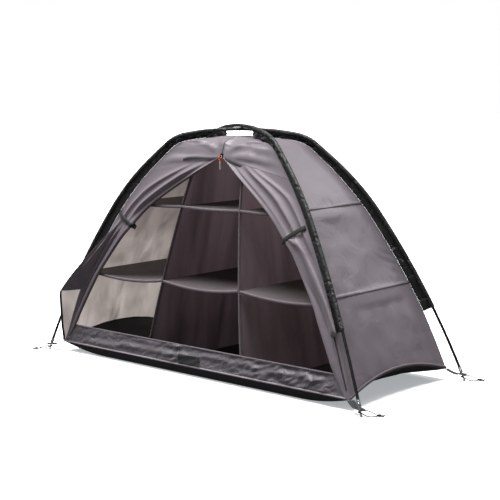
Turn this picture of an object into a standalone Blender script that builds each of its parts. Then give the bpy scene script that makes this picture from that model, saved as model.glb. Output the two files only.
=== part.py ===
# Folding camping cupboard: two crossed arch poles carry a fabric body with shelves.
# Metres, +Z up. The origin is on the ground in the middle of the footprint.
# +X runs along the front to the right, and the doorway faces -Y.
import math

import bpy
from mathutils import Matrix, Vector

# Footprint and arches, measured on the pole centre lines
FOOT_SPAN_X = 1.315
FOOT_SPAN_Y = 0.506
KNEE_INSET = 0.3275
KNEE_Z = 0.586
LEG_BOW = 0.0224
SHOULDER_R = 0.223
SHOULDER_Z = 0.717
ROOF_RISE = 0.0245
KNEE_EASE = 0.100
SHOULDER_EASE = 0.035

# Poles, cord, ferrules and tips
POLE_OD = 0.0085
POLE_BORE = 0.0045
SHOCK_CORD_D = 0.0030
FERRULE_WALL = 0.0005
FERRULE_FIT = 0.0003
FERRULE_LENGTH = 0.060
ELBOW_GRIP = 0.022
ELBOW_CLEAR = 0.001
PIN_D = 0.0050
PIN_LENGTH = 0.026
CAP_FLOOR = 0.003
CAP_LENGTH = 0.018
CAP_WALL = 0.0008
CAP_CHAMFER = 0.0015

# Sleeves and the webs that join them to the body
SLEEVE_WALL = 0.0008
SLEEVE_EASE = 0.0006
SLEEVE_TIGHT_EASE = 0.0004
WEB_THICKNESS = 0.0012
SLEEVE_START = 0.2366
HANDLE_HALF = 0.083
HANDLE_TAPER = 0.010

# Distance from the lower arch's centre line in to the body seam
SEAM_INSET_FOOT = 0.041
SEAM_INSET_LEG = 0.031
SEAM_INSET_KNEE = 0.027
SEAM_INSET_SHOULDER = 0.020
SEAM_INSET_TOP = 0.022

# Fabric body
FABRIC = 0.0010
SHELF_FABRIC = 0.0012
HEM_Z = 0.032
SIDE_HEM_RISE = 0.040
APEX_CUT = 0.010
FLOOR_FLAT_X = 0.40
FLOOR_FLAT_Y = 0.13

# Doorway and doors
ZIP_X = 0.010
ZIP_TOP_Z = 0.657
ZIP_TONGUE = 0.010
HEADER_SIDE_Z = 0.605
SILL_Z = 0.095
DOOR_FABRIC = 0.0014
DOOR_FOLDS = 3
FAN_FOLD = 0.013
TIE_FOLD = 0.012
ROLL_FOLD = 0.020
LEFT_BULGE = 0.072
FLAP_END_Z = 0.212

# The folds across a door: the height left in their valleys, how squarely they start at its
# edges, and from which share of the fan's height they die out towards the zip's top
FOLD_VALLEY = 0.55
FOLD_SQUARENESS = 0.7
FAN_START = 3.0
FAN_FADE = 0.45

# The rolled edge below the tie: its place and spread across the door, and its end
ROLL_PLACE = 0.25
ROLL_SPREAD = 0.17
ROLL_FADE_START = 0.05
ROLL_FADE_END = 0.40

# The gathered doors, top to bottom: seam height, gathered width, free edge height
DOOR_EDGES = (
    (0.565, 0.2170, 0.595),
    (0.525, 0.1590, 0.538),
    (0.500, 0.1145, 0.492),
    (0.476, 0.0720, 0.435),
    (0.420, 0.0680, 0.398),
    (0.340, 0.0670, 0.338),
    (0.270, 0.0550, 0.268),
    (0.210, 0.0500, 0.206),
    (0.140, 0.0425, 0.138),
    (0.105, 0.0380, 0.103),
)
DOOR_FOOT_WIDTH = 0.015
TIE_ROW = 4

# Tie straps
TIE_WIDTH = 0.012
TIE_THICKNESS = 0.0012
TIE_OVERHANG = 0.013
TIE_SEAM_INSET = 0.004

# Inner dividers and shelves
DIVIDER_FOOT_X = 0.2084
DIVIDER_LEAN = 0.170
DIVIDER_TOP_Z = 0.680
UPPER_SHELF_Z = 0.507
MIDDLE_SHELF_Z = 0.277
UPPER_SAG = 0.003
MIDDLE_SAG = 0.013
FRONT_SETBACK = 0.004
DIVIDER_FIRST_Z = 0.060

# Corner straps, eyelets and stake loops
STRAP_WIDTH = 0.022
STRAP_THICKNESS = 0.0014
STRAP_Z = 0.0190
STRAP_LEVEL = 0.020
STRAP_END = 0.014
EYELET_BORE = 0.0092
EYELET_WALL = 0.0010
EYELET_FLANGE = 0.0180
EYELET_FLANGE_T = 0.0010
LOOP_CORD_D = 0.0030
LOOP_HOLD_Z = 0.0120
LOOP_HEADINGS = {
    "front_left": (-0.80, -0.60, 0.0),
    "front_right": (0.80, 0.60, 0.0),
    "back_left": (-0.80, 0.60, 0.0),
    "back_right": (0.80, 0.60, 0.0),
}
# Loop route from the pin: along its heading, across it, and height above the ground
LOOP_ROUTE = (
    (0.0660, 0.0075, 0.0019),
    (0.0590, 0.0042, 0.0020),
    (0.0520, 0.0022, 0.0026),
    (0.0460, 0.0022, 0.0030),
    (0.0390, 0.0062, 0.0050),
    (0.0290, 0.0095, 0.0095),
    (0.0180, 0.0090, 0.0132),
    (0.0080, 0.0062, 0.0140),
    (0.0010, 0.0051, 0.0130),
    (-0.0038, 0.0037, 0.0124),
    (-0.0056, 0.0000, 0.0120),
    (-0.0038, -0.0037, 0.0116),
    (0.0010, -0.0051, 0.0108),
    (0.0080, -0.0068, 0.0080),
    (0.0180, -0.0098, 0.0034),
    (0.0290, -0.0092, 0.0019),
    (0.0390, -0.0058, 0.0019),
    (0.0460, -0.0022, 0.0024),
    (0.0520, -0.0022, 0.0026),
    (0.0570, -0.0040, 0.0020),
    (0.0620, -0.0080, 0.0019),
)

# Zip slider and pull
SLIDER_WIDTH = 0.008
SLIDER_HEIGHT = 0.012
SLIDER_DEPTH = 0.0045
SLIDER_EDGE = 0.0008
BAIL_BAR = 0.0012
BAIL_REACH = 0.0042
BAIL_HEIGHT = 0.0080
BAIL_SINK = 0.0006
PULL_CORD_D = 0.0022
PULL_LOOP = 0.020
GRIP_WIDTH = 0.0075
GRIP_DEPTH = 0.0045
GRIP_LENGTH = 0.024
GRIP_EDGE = 0.0012
PULL_INSET = 0.0006
PULL_SINK = 0.004

# Points along each curve before it is cut into chords, and how far a slope is probed
LEG_POINTS = 100
RAFTER_POINTS = 30
ROOF_POINTS = 80
EASE_POINTS = 16
EASE_MARGIN = 0.0005
PROBE = 0.004
TINY = 1e-6

# Running gap between pieces that touch
GAP = 0.0003
SEAM_GAP = 0.0002

# Mesh fineness
LEG_STEP = 0.110
KNEE_STEP = 0.052
SHOULDER_STEP = 0.018
ROOF_STEP = 0.050
POLE_SIDES = 8
CORD_SIDES = 6
ROUND_SIDES = 12
SIDE_COLUMNS = 6
BACK_COLUMNS = 3
HEADER_COLUMNS = 5
HEADER_ROWS = 5
DOOR_COLUMNS = 12
DOOR_ROW_STEPS = 2
SILL_COLUMNS = 8
SILL_ROWS = 3
FLOOR_EDGE_COLUMNS = 5
FLOOR_EDGE_ROWS = 3
FLOOR_FLAT_CELLS = 4
DIVIDER_ROWS = 9
SHELF_COLUMNS = 6
SHELF_ROWS = 4
TIE_STEPS = 12

# A cell of a sheet is cut in two where its corners stand further than this out of one plane
WARP_LIMIT = 0.00002

HALF_X = FOOT_SPAN_X / 2
HALF_Y = FOOT_SPAN_Y / 2
HALF_DIAGONAL = math.hypot(HALF_X, HALF_Y)
POLE_R = POLE_OD / 2
FERRULE_R = POLE_R + FERRULE_FIT + FERRULE_WALL
SLEEVE_TIGHT_R = POLE_R + SLEEVE_TIGHT_EASE + SLEEVE_WALL
CROSSING_RISE = 2 * SLEEVE_TIGHT_R + GAP


# Scene and materials
def clear_scene():
    for thing in list(bpy.data.objects):
        bpy.data.objects.remove(thing, do_unlink=True)


def linear(channel):
    value = channel / 255
    if value <= 0.04045:
        return value / 12.92
    return ((value + 0.055) / 1.055) ** 2.4


def make_material(name, rgb, roughness, metallic=0.0):
    material = bpy.data.materials.new(name)
    material.use_nodes = True
    shader = material.node_tree.nodes["Principled BSDF"]
    shader.inputs["Base Color"].default_value = [linear(c) for c in rgb] + [1.0]
    shader.inputs["Roughness"].default_value = roughness
    shader.inputs["Metallic"].default_value = metallic
    material.diffuse_color = [linear(c) for c in rgb] + [1.0]
    return material


def add_mesh(name, points, faces, material, sharp_degrees=40):
    mesh = bpy.data.meshes.new(name)
    mesh.from_pydata([tuple(p) for p in points], [], faces)
    mesh.update()
    mesh.materials.append(material)
    mesh.shade_smooth()
    mesh.set_sharp_from_angle(angle=math.radians(sharp_degrees))
    thing = bpy.data.objects.new(name, mesh)
    bpy.context.scene.collection.objects.link(thing)
    return thing


def shift_origin(thing, origin):
    thing.data.transform(Matrix.Translation(-origin))
    thing.location = origin


# Plane curves, each a list of points (distance from the middle, height)
def bowed(start, end, bow, count):
    start = Vector(start)
    end = Vector(end)
    chord = end - start
    length = chord.length
    radius = length * length / (8 * bow) + bow / 2
    half_angle = math.asin(length / 2 / radius)
    along = chord / length
    out = Vector((along.y, -along.x))
    if out.x + out.y < 0:
        out = -out
    centre = (start + end) / 2 + out * (bow - radius)
    points = []
    for step in range(count + 1):
        angle = half_angle * (2 * step / count - 1)
        points.append(centre + radius * (math.cos(angle) * out + math.sin(angle) * along))
    return points


def lengths_along(points):
    total = [0.0]
    for before, after in zip(points, points[1:]):
        total.append(total[-1] + (after - before).length)
    return total


def point_along(points, lengths, s):
    s = min(max(s, 0.0), lengths[-1])
    low = 0
    high = len(lengths) - 1
    while high - low > 1:
        middle = (low + high) // 2
        if lengths[middle] <= s:
            low = middle
        else:
            high = middle
    share = (s - lengths[low]) / (lengths[high] - lengths[low])
    return points[low].lerp(points[high], share)


def eased_corner(points, corner_s, ease):
    lengths = lengths_along(points)
    first = point_along(points, lengths, corner_s - ease)
    corner = point_along(points, lengths, corner_s)
    last = point_along(points, lengths, corner_s + ease)
    before = [p for p, s in zip(points, lengths) if s < corner_s - ease - EASE_MARGIN]
    after = [p for p, s in zip(points, lengths) if s > corner_s + ease + EASE_MARGIN]
    curve = []
    for step in range(EASE_POINTS + 1):
        t = step / EASE_POINTS
        curve.append(first * (1 - t) ** 2 + corner * (2 * t * (1 - t)) + last * t * t)
    return before + curve + after


def half_profile(rise):
    foot = (HALF_DIAGONAL, 0.0)
    knee = (HALF_DIAGONAL - KNEE_INSET, KNEE_Z)
    shoulder = (SHOULDER_R, SHOULDER_Z)
    leg = bowed(foot, knee, LEG_BOW, LEG_POINTS)
    rafter = [
        Vector(knee).lerp(Vector(shoulder), i / RAFTER_POINTS)
        for i in range(1, RAFTER_POINTS + 1)
    ]
    roof = bowed(shoulder, (-SHOULDER_R, SHOULDER_Z), rise, ROOF_POINTS)
    roof = roof[1:ROOF_POINTS // 2 + 1]
    return leg + rafter + roof


class Arch:
    # One pole arch from its front foot over the top to its back foot, as short chords
    def __init__(self, side, rise):
        self.out = Vector((side * HALF_X, -HALF_Y, 0.0)) / HALF_DIAGONAL
        half = half_profile(rise)
        lengths = lengths_along(half)
        self.knee_s = lengths[LEG_POINTS]
        self.shoulder_s = lengths[LEG_POINTS + RAFTER_POINTS]
        half = eased_corner(half, self.knee_s, KNEE_EASE)
        half = eased_corner(half, self.shoulder_s, SHOULDER_EASE)
        lengths = lengths_along(half)
        chords = [point_along(half, lengths, s) for s in self.chord_marks(lengths[-1])]
        mirrored = [Vector((-p.x, p.y)) for p in reversed(chords[:-1])]
        self.points = chords + mirrored
        self.lengths = lengths_along(self.points)
        self.length = self.lengths[-1]
        self.apex_s = self.length / 2

    def chord_marks(self, apex_s):
        bends = (
            (0.0, self.knee_s - KNEE_EASE, LEG_STEP),
            (self.knee_s - KNEE_EASE, self.knee_s + KNEE_EASE, KNEE_STEP),
            (self.knee_s + KNEE_EASE, self.shoulder_s - SHOULDER_EASE, LEG_STEP),
            (self.shoulder_s - SHOULDER_EASE, self.shoulder_s + SHOULDER_EASE, SHOULDER_STEP),
            (self.shoulder_s + SHOULDER_EASE, apex_s, ROOF_STEP),
        )
        marks = []
        for start, end, step in bends:
            count = max(1, math.ceil((end - start) / step))
            marks += [start + (end - start) * i / count for i in range(count)]
        return marks + [apex_s]

    def flat(self, s):
        return point_along(self.points, self.lengths, s)

    def centre(self, s):
        p = self.flat(s)
        return self.out * p.x + Vector((0, 0, p.y))

    def tangent(self, s):
        return (self.centre(s + PROBE) - self.centre(s - PROBE)).normalized()

    def frame(self, s):
        along = self.tangent(s)
        across = Vector((0, 0, 1)).cross(self.out).normalized()
        outward = along.cross(across).normalized()
        if outward.z < 0:
            outward = -outward
        return self.centre(s), along, outward, across

    def stations(self, start, end, extra=()):
        near = PROBE
        inner = [s for s in self.lengths if start + near < s < end - near]
        for s in extra:
            inner = [g for g in inner if abs(g - s) > near] + [s]
        return [start] + sorted(inner) + [end]


ARCH_A = Arch(-1, ROOF_RISE)
ARCH_B = Arch(1, ROOF_RISE + CROSSING_RISE)


# The body seam, which hangs a set distance inside the lower arch
def seam_inset(s):
    stops = (
        (0.0, SEAM_INSET_FOOT),
        (SLEEVE_START, SEAM_INSET_LEG),
        (ARCH_A.knee_s, SEAM_INSET_KNEE),
        (ARCH_A.shoulder_s, SEAM_INSET_SHOULDER),
        (ARCH_A.apex_s, SEAM_INSET_TOP),
    )
    for (s0, inset0), (s1, inset1) in zip(stops, stops[1:]):
        if s <= s1:
            return inset0 + (inset1 - inset0) * (s - s0) / (s1 - s0)
    return SEAM_INSET_TOP


def seam(s):
    before = ARCH_A.flat(s - PROBE)
    after = ARCH_A.flat(s + PROBE)
    along = (after - before).normalized()
    inward = Vector((-along.y, along.x))
    if inward.y > 0:
        inward = -inward
    return ARCH_A.flat(s) + inward * seam_inset(s)


def seam_s_at(z):
    low = 0.0
    high = ARCH_A.apex_s
    for _ in range(40):
        middle = (low + high) / 2
        if seam(middle).y < z:
            low = middle
        else:
            high = middle
    return (low + high) / 2


def seam_s_on(arch, s):
    # The seam's own station beside station s of either arch
    if s > arch.apex_s:
        s = arch.length - s
    if s <= arch.shoulder_s:
        return s
    share = (s - arch.shoulder_s) / (arch.apex_s - arch.shoulder_s)
    return ARCH_A.shoulder_s + share * (ARCH_A.apex_s - ARCH_A.shoulder_s)


def wall_slope(half_span, s):
    scale = half_span / HALF_DIAGONAL
    below = seam(s - PROBE)
    above = seam(s + PROBE)
    return Vector(((above.x - below.x) * scale, above.y - below.y)).normalized()


def wall_point(half_span, s, depth):
    # A point in a wall, that deep in it: distance from the middle, and height
    along = wall_slope(half_span, s)
    here = seam(s)
    flat = Vector((here.x * half_span / HALF_DIAGONAL, here.y))
    return flat - Vector((along.y, -along.x)) * depth


def wall_reach(half_span, z, depth):
    # How far a wall stands from the middle at height z, at that depth in it
    s = seam_s_at(z)
    return seam(s).x * half_span / HALF_DIAGONAL - depth / wall_slope(half_span, s).y


# Solids
def is_flat(corners):
    a, b, c, d = corners
    normal = (c - a).cross(d - b).normalized()
    return abs((b - a).dot(normal)) < WARP_LIMIT


def skin(name, outer, inner, material, sharp_degrees=40):
    # A closed sheet between two grids of points of the same size
    rows = len(outer)
    columns = len(outer[0])
    size = rows * columns
    points = [p for row in outer for p in row] + [p for row in inner for p in row]
    faces = []
    for i in range(rows - 1):
        for j in range(columns - 1):
            a = i * columns + j
            cell = (a, a + 1, a + columns + 1, a + columns)
            parts = [cell]
            layers = ([points[v] for v in cell], [points[size + v] for v in cell])
            if not all(is_flat(corners) for corners in layers):
                parts = [cell[:3], (cell[0], cell[2], cell[3])]
            for part in parts:
                faces.append(part)
                faces.append(tuple(size + v for v in reversed(part)))
    rim = [j for j in range(columns)]
    rim += [i * columns + columns - 1 for i in range(1, rows)]
    rim += [(rows - 1) * columns + j for j in range(columns - 2, -1, -1)]
    rim += [i * columns for i in range(rows - 2, 0, -1)]
    for a, b in zip(rim, rim[1:] + rim[:1]):
        faces.append((b, a, size + a, size + b))
    thing = add_mesh(name, points, faces, material, sharp_degrees)
    face_out(thing)
    return thing


def face_out(thing):
    # Turn the faces out when the signed volume is negative
    mesh = thing.data
    volume = 0.0
    for face in mesh.polygons:
        corners = [mesh.vertices[v].co for v in face.vertices]
        for second, third in zip(corners[1:], corners[2:]):
            volume += corners[0].dot(second.cross(third))
    if volume < 0:
        mesh.flip_normals()


def grid_normals(grid):
    rows = len(grid)
    columns = len(grid[0])
    normals = []
    for i in range(rows):
        line = []
        for j in range(columns):
            down = grid[min(i + 1, rows - 1)][j] - grid[max(i - 1, 0)][j]
            over = grid[i][min(j + 1, columns - 1)] - grid[i][max(j - 1, 0)]
            line.append(down.cross(over).normalized())
        normals.append(line)
    return normals


def thickened(grid, thickness, towards):
    # The second layer of a sheet, offset to the side that faces towards
    layer = []
    for line, normals in zip(grid, grid_normals(grid)):
        moved = []
        for p, n in zip(line, normals):
            if n.dot(towards) < 0:
                n = -n
            moved.append(p + n * thickness)
        layer.append(moved)
    return layer


def circle(centre, outward, across, radius, sides):
    points = []
    for i in range(sides):
        angle = 2 * math.pi * (i + 0.5) / sides
        points.append(centre + radius * (math.cos(angle) * outward + math.sin(angle) * across))
    return points


def ring_faces(start, sides, rings, flip):
    faces = []
    for r in range(rings - 1):
        for i in range(sides):
            a = start + r * sides + i
            b = start + r * sides + (i + 1) % sides
            quad = (a, b, b + sides, a + sides)
            faces.append(tuple(reversed(quad)) if flip else quad)
    return faces


def arch_tube(name, arch, stations, outer_r, inner_r, sides, material):
    # A tube along an arch, or a solid rod where inner_r is zero
    outer = []
    inner = []
    for s in stations:
        centre, _, outward, across = arch.frame(s)
        outer += circle(centre, outward, across, outer_r, sides)
        if inner_r:
            inner += circle(centre, outward, across, inner_r, sides)
    rings = len(stations)
    size = rings * sides
    faces = ring_faces(0, sides, rings, False)
    last = size - sides
    if inner_r:
        faces += ring_faces(size, sides, rings, True)
        for i in range(sides):
            j = (i + 1) % sides
            faces.append((j, i, size + i, size + j))
            faces.append((last + i, last + j, size + last + j, size + last + i))
    else:
        faces.append(tuple(reversed(range(sides))))
        faces.append(tuple(range(last, size)))
    thing = add_mesh(name, outer + inner, faces, material)
    face_out(thing)
    return thing


def turned(name, origin, axis, profile, sides, material, closed, ground_cut=False):
    # A turned solid: profile is (height, radius) pairs along the axis
    side = axis.orthogonal().normalized()
    across = axis.cross(side).normalized()
    points = []
    for height, radius in profile:
        points += circle(origin + axis * height, side, across, radius, sides)
    if ground_cut:
        points[:sides] = [p - axis * (p.z / axis.z) for p in points[:sides]]
    rings = len(profile)
    faces = ring_faces(0, sides, rings, False)
    if closed:
        last = (rings - 1) * sides
        for i in range(sides):
            j = (i + 1) % sides
            faces.append((last + i, last + j, j, i))
    else:
        faces.append(tuple(reversed(range(sides))))
        faces.append(tuple(range((rings - 1) * sides, rings * sides)))
    thing = add_mesh(name, points, faces, material, 30)
    face_out(thing)
    return thing


def block(low, high):
    points = []
    for x in (low[0], high[0]):
        for y in (low[1], high[1]):
            for z in (low[2], high[2]):
                points.append(Vector((x, y, z)))
    faces = [(0, 1, 3, 2), (4, 6, 7, 5), (0, 4, 5, 1), (2, 3, 7, 6), (0, 2, 6, 4), (1, 5, 7, 3)]
    return points, faces


def hide_helper(thing):
    thing.hide_render = True
    thing.display_type = "WIRE"


def add_boolean(thing, helper, operation):
    modifier = thing.modifiers.new(operation.lower(), "BOOLEAN")
    modifier.operation = operation
    modifier.solver = "EXACT"
    modifier.object = helper
    hide_helper(helper)


def spread(start, end, count):
    return [start + (end - start) * i / count for i in range(count + 1)]


# Arch poles
def build_poles(arch, letter, looks):
    pole_start = PIN_LENGTH + CAP_FLOOR + GAP
    elbow_half = SHOULDER_EASE + ELBOW_CLEAR
    elbow_s = (arch.shoulder_s, arch.length - arch.shoulder_s)
    leg_end = elbow_s[0] - elbow_half
    middle_s = (pole_start + leg_end) / 2
    sections = (
        (pole_start, middle_s - GAP / 2),
        (middle_s + GAP / 2, leg_end),
        (elbow_s[0] + elbow_half, elbow_s[1] - elbow_half),
        (arch.length - leg_end, arch.length - middle_s - GAP / 2),
        (arch.length - middle_s + GAP / 2, arch.length - pole_start),
    )
    for number, (start, end) in enumerate(sections, 1):
        name = f"pole_{letter}_{number}"
        stations = arch.stations(start, end)
        arch_tube(name, arch, stations, POLE_R, POLE_BORE / 2, POLE_SIDES, looks["pole"])
    bore_r = POLE_R + FERRULE_FIT
    elbow_reach = elbow_half + ELBOW_GRIP
    joints = (
        (f"ferrule_{letter}_front", middle_s, FERRULE_LENGTH / 2),
        (f"elbow_{letter}_front", elbow_s[0], elbow_reach),
        (f"elbow_{letter}_back", elbow_s[1], elbow_reach),
        (f"ferrule_{letter}_back", arch.length - middle_s, FERRULE_LENGTH / 2),
    )
    for name, s, reach in joints:
        stations = arch.stations(s - reach, s + reach)
        arch_tube(name, arch, stations, FERRULE_R, bore_r, POLE_SIDES, looks["ferrule"])
    cord_start = pole_start + GAP
    stations = arch.stations(cord_start, arch.length - cord_start)
    arch_tube(
        f"shock_cord_{letter}", arch, stations, SHOCK_CORD_D / 2, 0, CORD_SIDES, looks["cord"]
    )


def build_tip(name, corner, looks):
    # A metal end cap on the pole, with the pin that stands through the eyelet
    arch, s, turn = corner
    axis = arch.tangent(s + turn * PIN_LENGTH) * turn
    cap_r = POLE_R + FERRULE_FIT + CAP_WALL
    cap_end = PIN_LENGTH + CAP_LENGTH
    profile = (
        (0.0, PIN_D / 2),
        (PIN_LENGTH, PIN_D / 2),
        (PIN_LENGTH, cap_r - CAP_CHAMFER),
        (PIN_LENGTH + CAP_CHAMFER, cap_r),
        (cap_end, cap_r),
        (cap_end, POLE_R + FERRULE_FIT),
        (PIN_LENGTH + CAP_FLOOR, POLE_R + FERRULE_FIT),
    )
    foot = arch.centre(s)
    turned(name, foot, axis, profile, ROUND_SIDES, looks["tip"], False, True)


# Sleeves with their webs
def build_sleeve(name, arch, looks):
    hole_s = arch.apex_s - HANDLE_HALF
    web_s = hole_s - HANDLE_TAPER
    marks = (web_s, hole_s, arch.length - hole_s, arch.length - web_s)
    stations = arch.stations(SLEEVE_START, arch.length - SLEEVE_START, marks)
    wide_bore = FERRULE_R + SLEEVE_EASE
    tight_bore = POLE_R + SLEEVE_TIGHT_EASE
    count = POLE_SIDES
    outer = []
    inner = []
    webs = []
    for s in stations:
        centre, _, outward, across = arch.frame(s)
        tight = hole_s - TINY <= s <= arch.length - hole_s + TINY
        bore = tight_bore if tight else wide_bore
        radius = bore + SLEEVE_WALL
        half = math.asin(WEB_THICKNESS / 2 / radius)
        angles = [math.pi + half + (2 * math.pi - 2 * half) * i / (count - 1) for i in range(count)]
        for angle in angles:
            spoke = math.cos(angle) * outward + math.sin(angle) * across
            outer.append(centre + spoke * radius)
            inner.append(centre + spoke * bore)
        flat = seam(seam_s_on(arch, s))
        if s > arch.apex_s:
            flat = Vector((-flat.x, flat.y))
        edge = arch.out * flat.x + Vector((0, 0, flat.y))
        edge -= (edge - centre).normalized() * GAP
        webs.append(edge + across * math.sin(math.pi + half) * radius)
        webs.append(edge + across * math.sin(math.pi - half) * radius)
    rings = len(stations)
    size = rings * count
    faces = []
    has_web = [s <= web_s + TINY or s >= arch.length - web_s - TINY for s in stations]
    for r in range(rings):
        first = r * count
        last = first + count - 1
        web = 2 * size + 2 * r
        end = r in (0, rings - 1)
        if r < rings - 1:
            for i in range(count - 1):
                a = first + i
                faces.append((a, a + 1, a + 1 + count, a + count))
                faces.append((size + a + count, size + a + 1 + count, size + a + 1, size + a))
            faces.append((size + first + count, size + first, size + last, size + last + count))
            if has_web[r] and has_web[r + 1]:
                faces.append((last, web + 1, web + 3, last + count))
                faces.append((web + 1, web, web + 2, web + 3))
                faces.append((web, first, first + count, web + 2))
            else:
                faces.append((last, first, first + count, last + count))
        web_ends = has_web[r] and (end or has_web[r - 1] != has_web[r + 1])
        if web_ends:
            cap = (first, last, web + 1, web)
            opens = r == 0 or not has_web[r - 1]
            faces.append(cap[::-1] if opens else cap)
        if end:
            for i in range(count - 1):
                a = first + i
                quad = (a + 1, a, size + a, size + a + 1)
                faces.append(quad if r == 0 else quad[::-1])
            quad = (first, last, size + last, size + first)
            faces.append(quad if r == 0 else quad[::-1])
    thing = add_mesh(name, outer + inner + webs, faces, looks["sleeve"])
    drop_loose(thing)
    face_out(thing)


def drop_loose(thing):
    # Remove points that no face uses
    mesh = thing.data
    used = {v for face in mesh.polygons for v in face.vertices}
    order = {old: new for new, old in enumerate(sorted(used))}
    points = [mesh.vertices[v].co.copy() for v in sorted(used)]
    faces = [tuple(order[v] for v in face.vertices) for face in mesh.polygons]
    materials = list(mesh.materials)
    mesh.clear_geometry()
    mesh.from_pydata(points, [], faces)
    mesh.update()
    for index, material in enumerate(materials):
        mesh.materials[index] = material
    mesh.shade_smooth()
    mesh.set_sharp_from_angle(angle=math.radians(40))


# Fabric walls
def mitre_gap(half_span):
    # The seam gap measured along a wall's own width
    return SEAM_GAP * HALF_DIAGONAL / half_span


def wall_edge(half_span, s, depth):
    # Half the width of a wall at seam station s, up to its mitred edge
    other_half = HALF_X + HALF_Y - half_span
    flat = wall_point(half_span, s, depth)
    return flat.x / half_span * other_half - mitre_gap(half_span)


def wall_grid(half_span, facing, columns, top_s, shares, depth):
    # columns hold each column's share of the half width and its lowest seam station
    width_dir = Vector((abs(facing.y), abs(facing.x), 0))
    grid = []
    for share in shares:
        line = []
        for u, start in columns:
            s = start + (top_s - start) * share
            flat = wall_point(half_span, s, depth)
            across = u * wall_edge(half_span, s, depth)
            line.append(facing * flat.x + width_dir * across + Vector((0, 0, flat.y)))
        grid.append(line)
    return grid


def add_wall(name, half_span, facing, columns, top_s, shares, looks):
    outer = wall_grid(half_span, facing, columns, top_s, shares, 0.0)
    inner = wall_grid(half_span, facing, columns, top_s, shares, FABRIC)
    return skin(name, outer, inner, looks["fabric"])


def header_columns():
    # The header's lower edge runs straight from the zip's top down to each seam
    side_s = seam_s_at(HEADER_SIDE_Z)
    tip = Vector((ZIP_TONGUE, ZIP_TOP_Z))
    side = Vector((wall_edge(HALF_Y, side_s, 0.0), HEADER_SIDE_Z))
    left = []
    right = []
    for w in spread(0.0, 1.0, HEADER_COLUMNS):
        p = tip.lerp(side, w)
        s = seam_s_at(p.y)
        edge = wall_edge(HALF_Y, s, 0.0)
        lead = ZIP_X * (1 - w)
        left.insert(0, ((lead - p.x) / edge, s))
        right.append(((lead + p.x) / edge, s))
    tip_s = seam_s_at(ZIP_TOP_Z)
    return left + [(ZIP_X / wall_edge(HALF_Y, tip_s, 0.0), tip_s)] + right


def build_walls(looks):
    top_s = ARCH_A.apex_s - APEX_CUT
    hem_s = seam_s_at(HEM_Z)
    marks = ARCH_A.stations(hem_s, top_s)
    shares = [(s - hem_s) / (top_s - hem_s) for s in marks]
    side_columns = [
        (u, seam_s_at(HEM_Z + SIDE_HEM_RISE * (1 - u * u)))
        for u in spread(-1.0, 1.0, SIDE_COLUMNS)
    ]
    back_columns = [(u, hem_s) for u in spread(-1.0, 1.0, BACK_COLUMNS)]
    for name, facing in (("left_side_panel", -1), ("right_side_panel", 1)):
        add_wall(name, HALF_X, Vector((facing, 0, 0)), side_columns, top_s, shares, looks)
    add_wall("back_panel", HALF_Y, Vector((0, 1, 0)), back_columns, top_s, shares, looks)
    add_wall(
        "front_header", HALF_Y, Vector((0, -1, 0)), header_columns(), top_s,
        spread(0.0, 1.0, HEADER_ROWS), looks,
    )


# Door flaps, gathered and tied back at the sides of the doorway
def smooth_points(points, steps):
    # A smooth curve through the points, with steps pieces between neighbours
    ends = [points[0] * 2 - points[1]] + list(points) + [points[-1] * 2 - points[-2]]
    curve = []
    for p0, p1, p2, p3 in zip(ends, ends[1:], ends[2:], ends[3:]):
        for step in range(steps):
            t = step / steps
            curve.append(
                (p1 * 2 + (p2 - p0) * t + (p0 * 2 - p1 * 5 + p2 * 4 - p3) * t * t
                 + (p1 * 3 - p0 - p2 * 3 + p3) * t ** 3) / 2
            )
    curve.append(points[-1])
    return curve


def door_free_x(seam_z, width):
    # How far from the middle a door's free edge lies, where it is gathered to that width
    return wall_edge(HALF_Y, seam_s_at(seam_z), 0.0) - width


def door_edge_rows():
    # Rows of (seam height, free edge x, free edge z) from the header to the hem
    top = Vector((HEADER_SIDE_Z - 2 * GAP, ZIP_TONGUE + GAP, ZIP_TOP_Z - 2 * GAP))
    foot_z = HEM_Z + GAP
    foot = Vector((foot_z, door_free_x(foot_z, DOOR_FOOT_WIDTH), foot_z))
    rows = [Vector((z, door_free_x(z, width), free_z)) for z, width, free_z in DOOR_EDGES]
    return smooth_points([top] + rows + [foot], DOOR_ROW_STEPS)


def ramp(value, start, end):
    share = min(max((value - start) / (end - start), 0.0), 1.0)
    return share * share * (3 - 2 * share)


def door_rise(side, z, tie_z, k):
    # How far the cloth stands forward of the front face, k from seam to free edge
    waves = math.sin(math.pi * DOOR_FOLDS * k) ** 2
    dome = math.sin(math.pi * k) ** FOLD_SQUARENESS if 0 < k < 1 else 0.0
    folds = dome * (FOLD_VALLEY + (1 - FOLD_VALLEY) * waves)
    if z > tie_z:
        up = (z - tie_z) / (ZIP_TOP_Z - tie_z)
        height = TIE_FOLD + (FAN_FOLD - TIE_FOLD) * min(1.0, FAN_START * up)
        fade = 1 - ramp(up, FAN_FADE, 1.0)
        return height * fade * folds
    down = (tie_z - z) / (tie_z - FLAP_END_Z)
    tied = TIE_FOLD * folds
    ridge = math.exp(-((k - ROLL_PLACE) / ROLL_SPREAD) ** 2)
    ridge = ridge * math.sin(2 * math.pi * k) ** 0.5 if 0 < k < 0.5 else 0.0
    crest = LEFT_BULGE if side < 0 else ROLL_FOLD
    if down <= 1:
        share = ramp(down, 0.0, 1.0)
        return tied * (1 - share) + crest * ridge * (0.5 * down + 0.5 * share)
    foot = (FLAP_END_Z - z) / (FLAP_END_Z - HEM_Z)
    fade = 1 - foot if side < 0 else 1 - ramp(foot, ROLL_FADE_START, ROLL_FADE_END)
    return crest * ridge * max(0.0, fade)


def front_point(x, z, forward):
    return Vector((x, -wall_reach(HALF_Y, z, 0.0) - forward, z))


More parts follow.
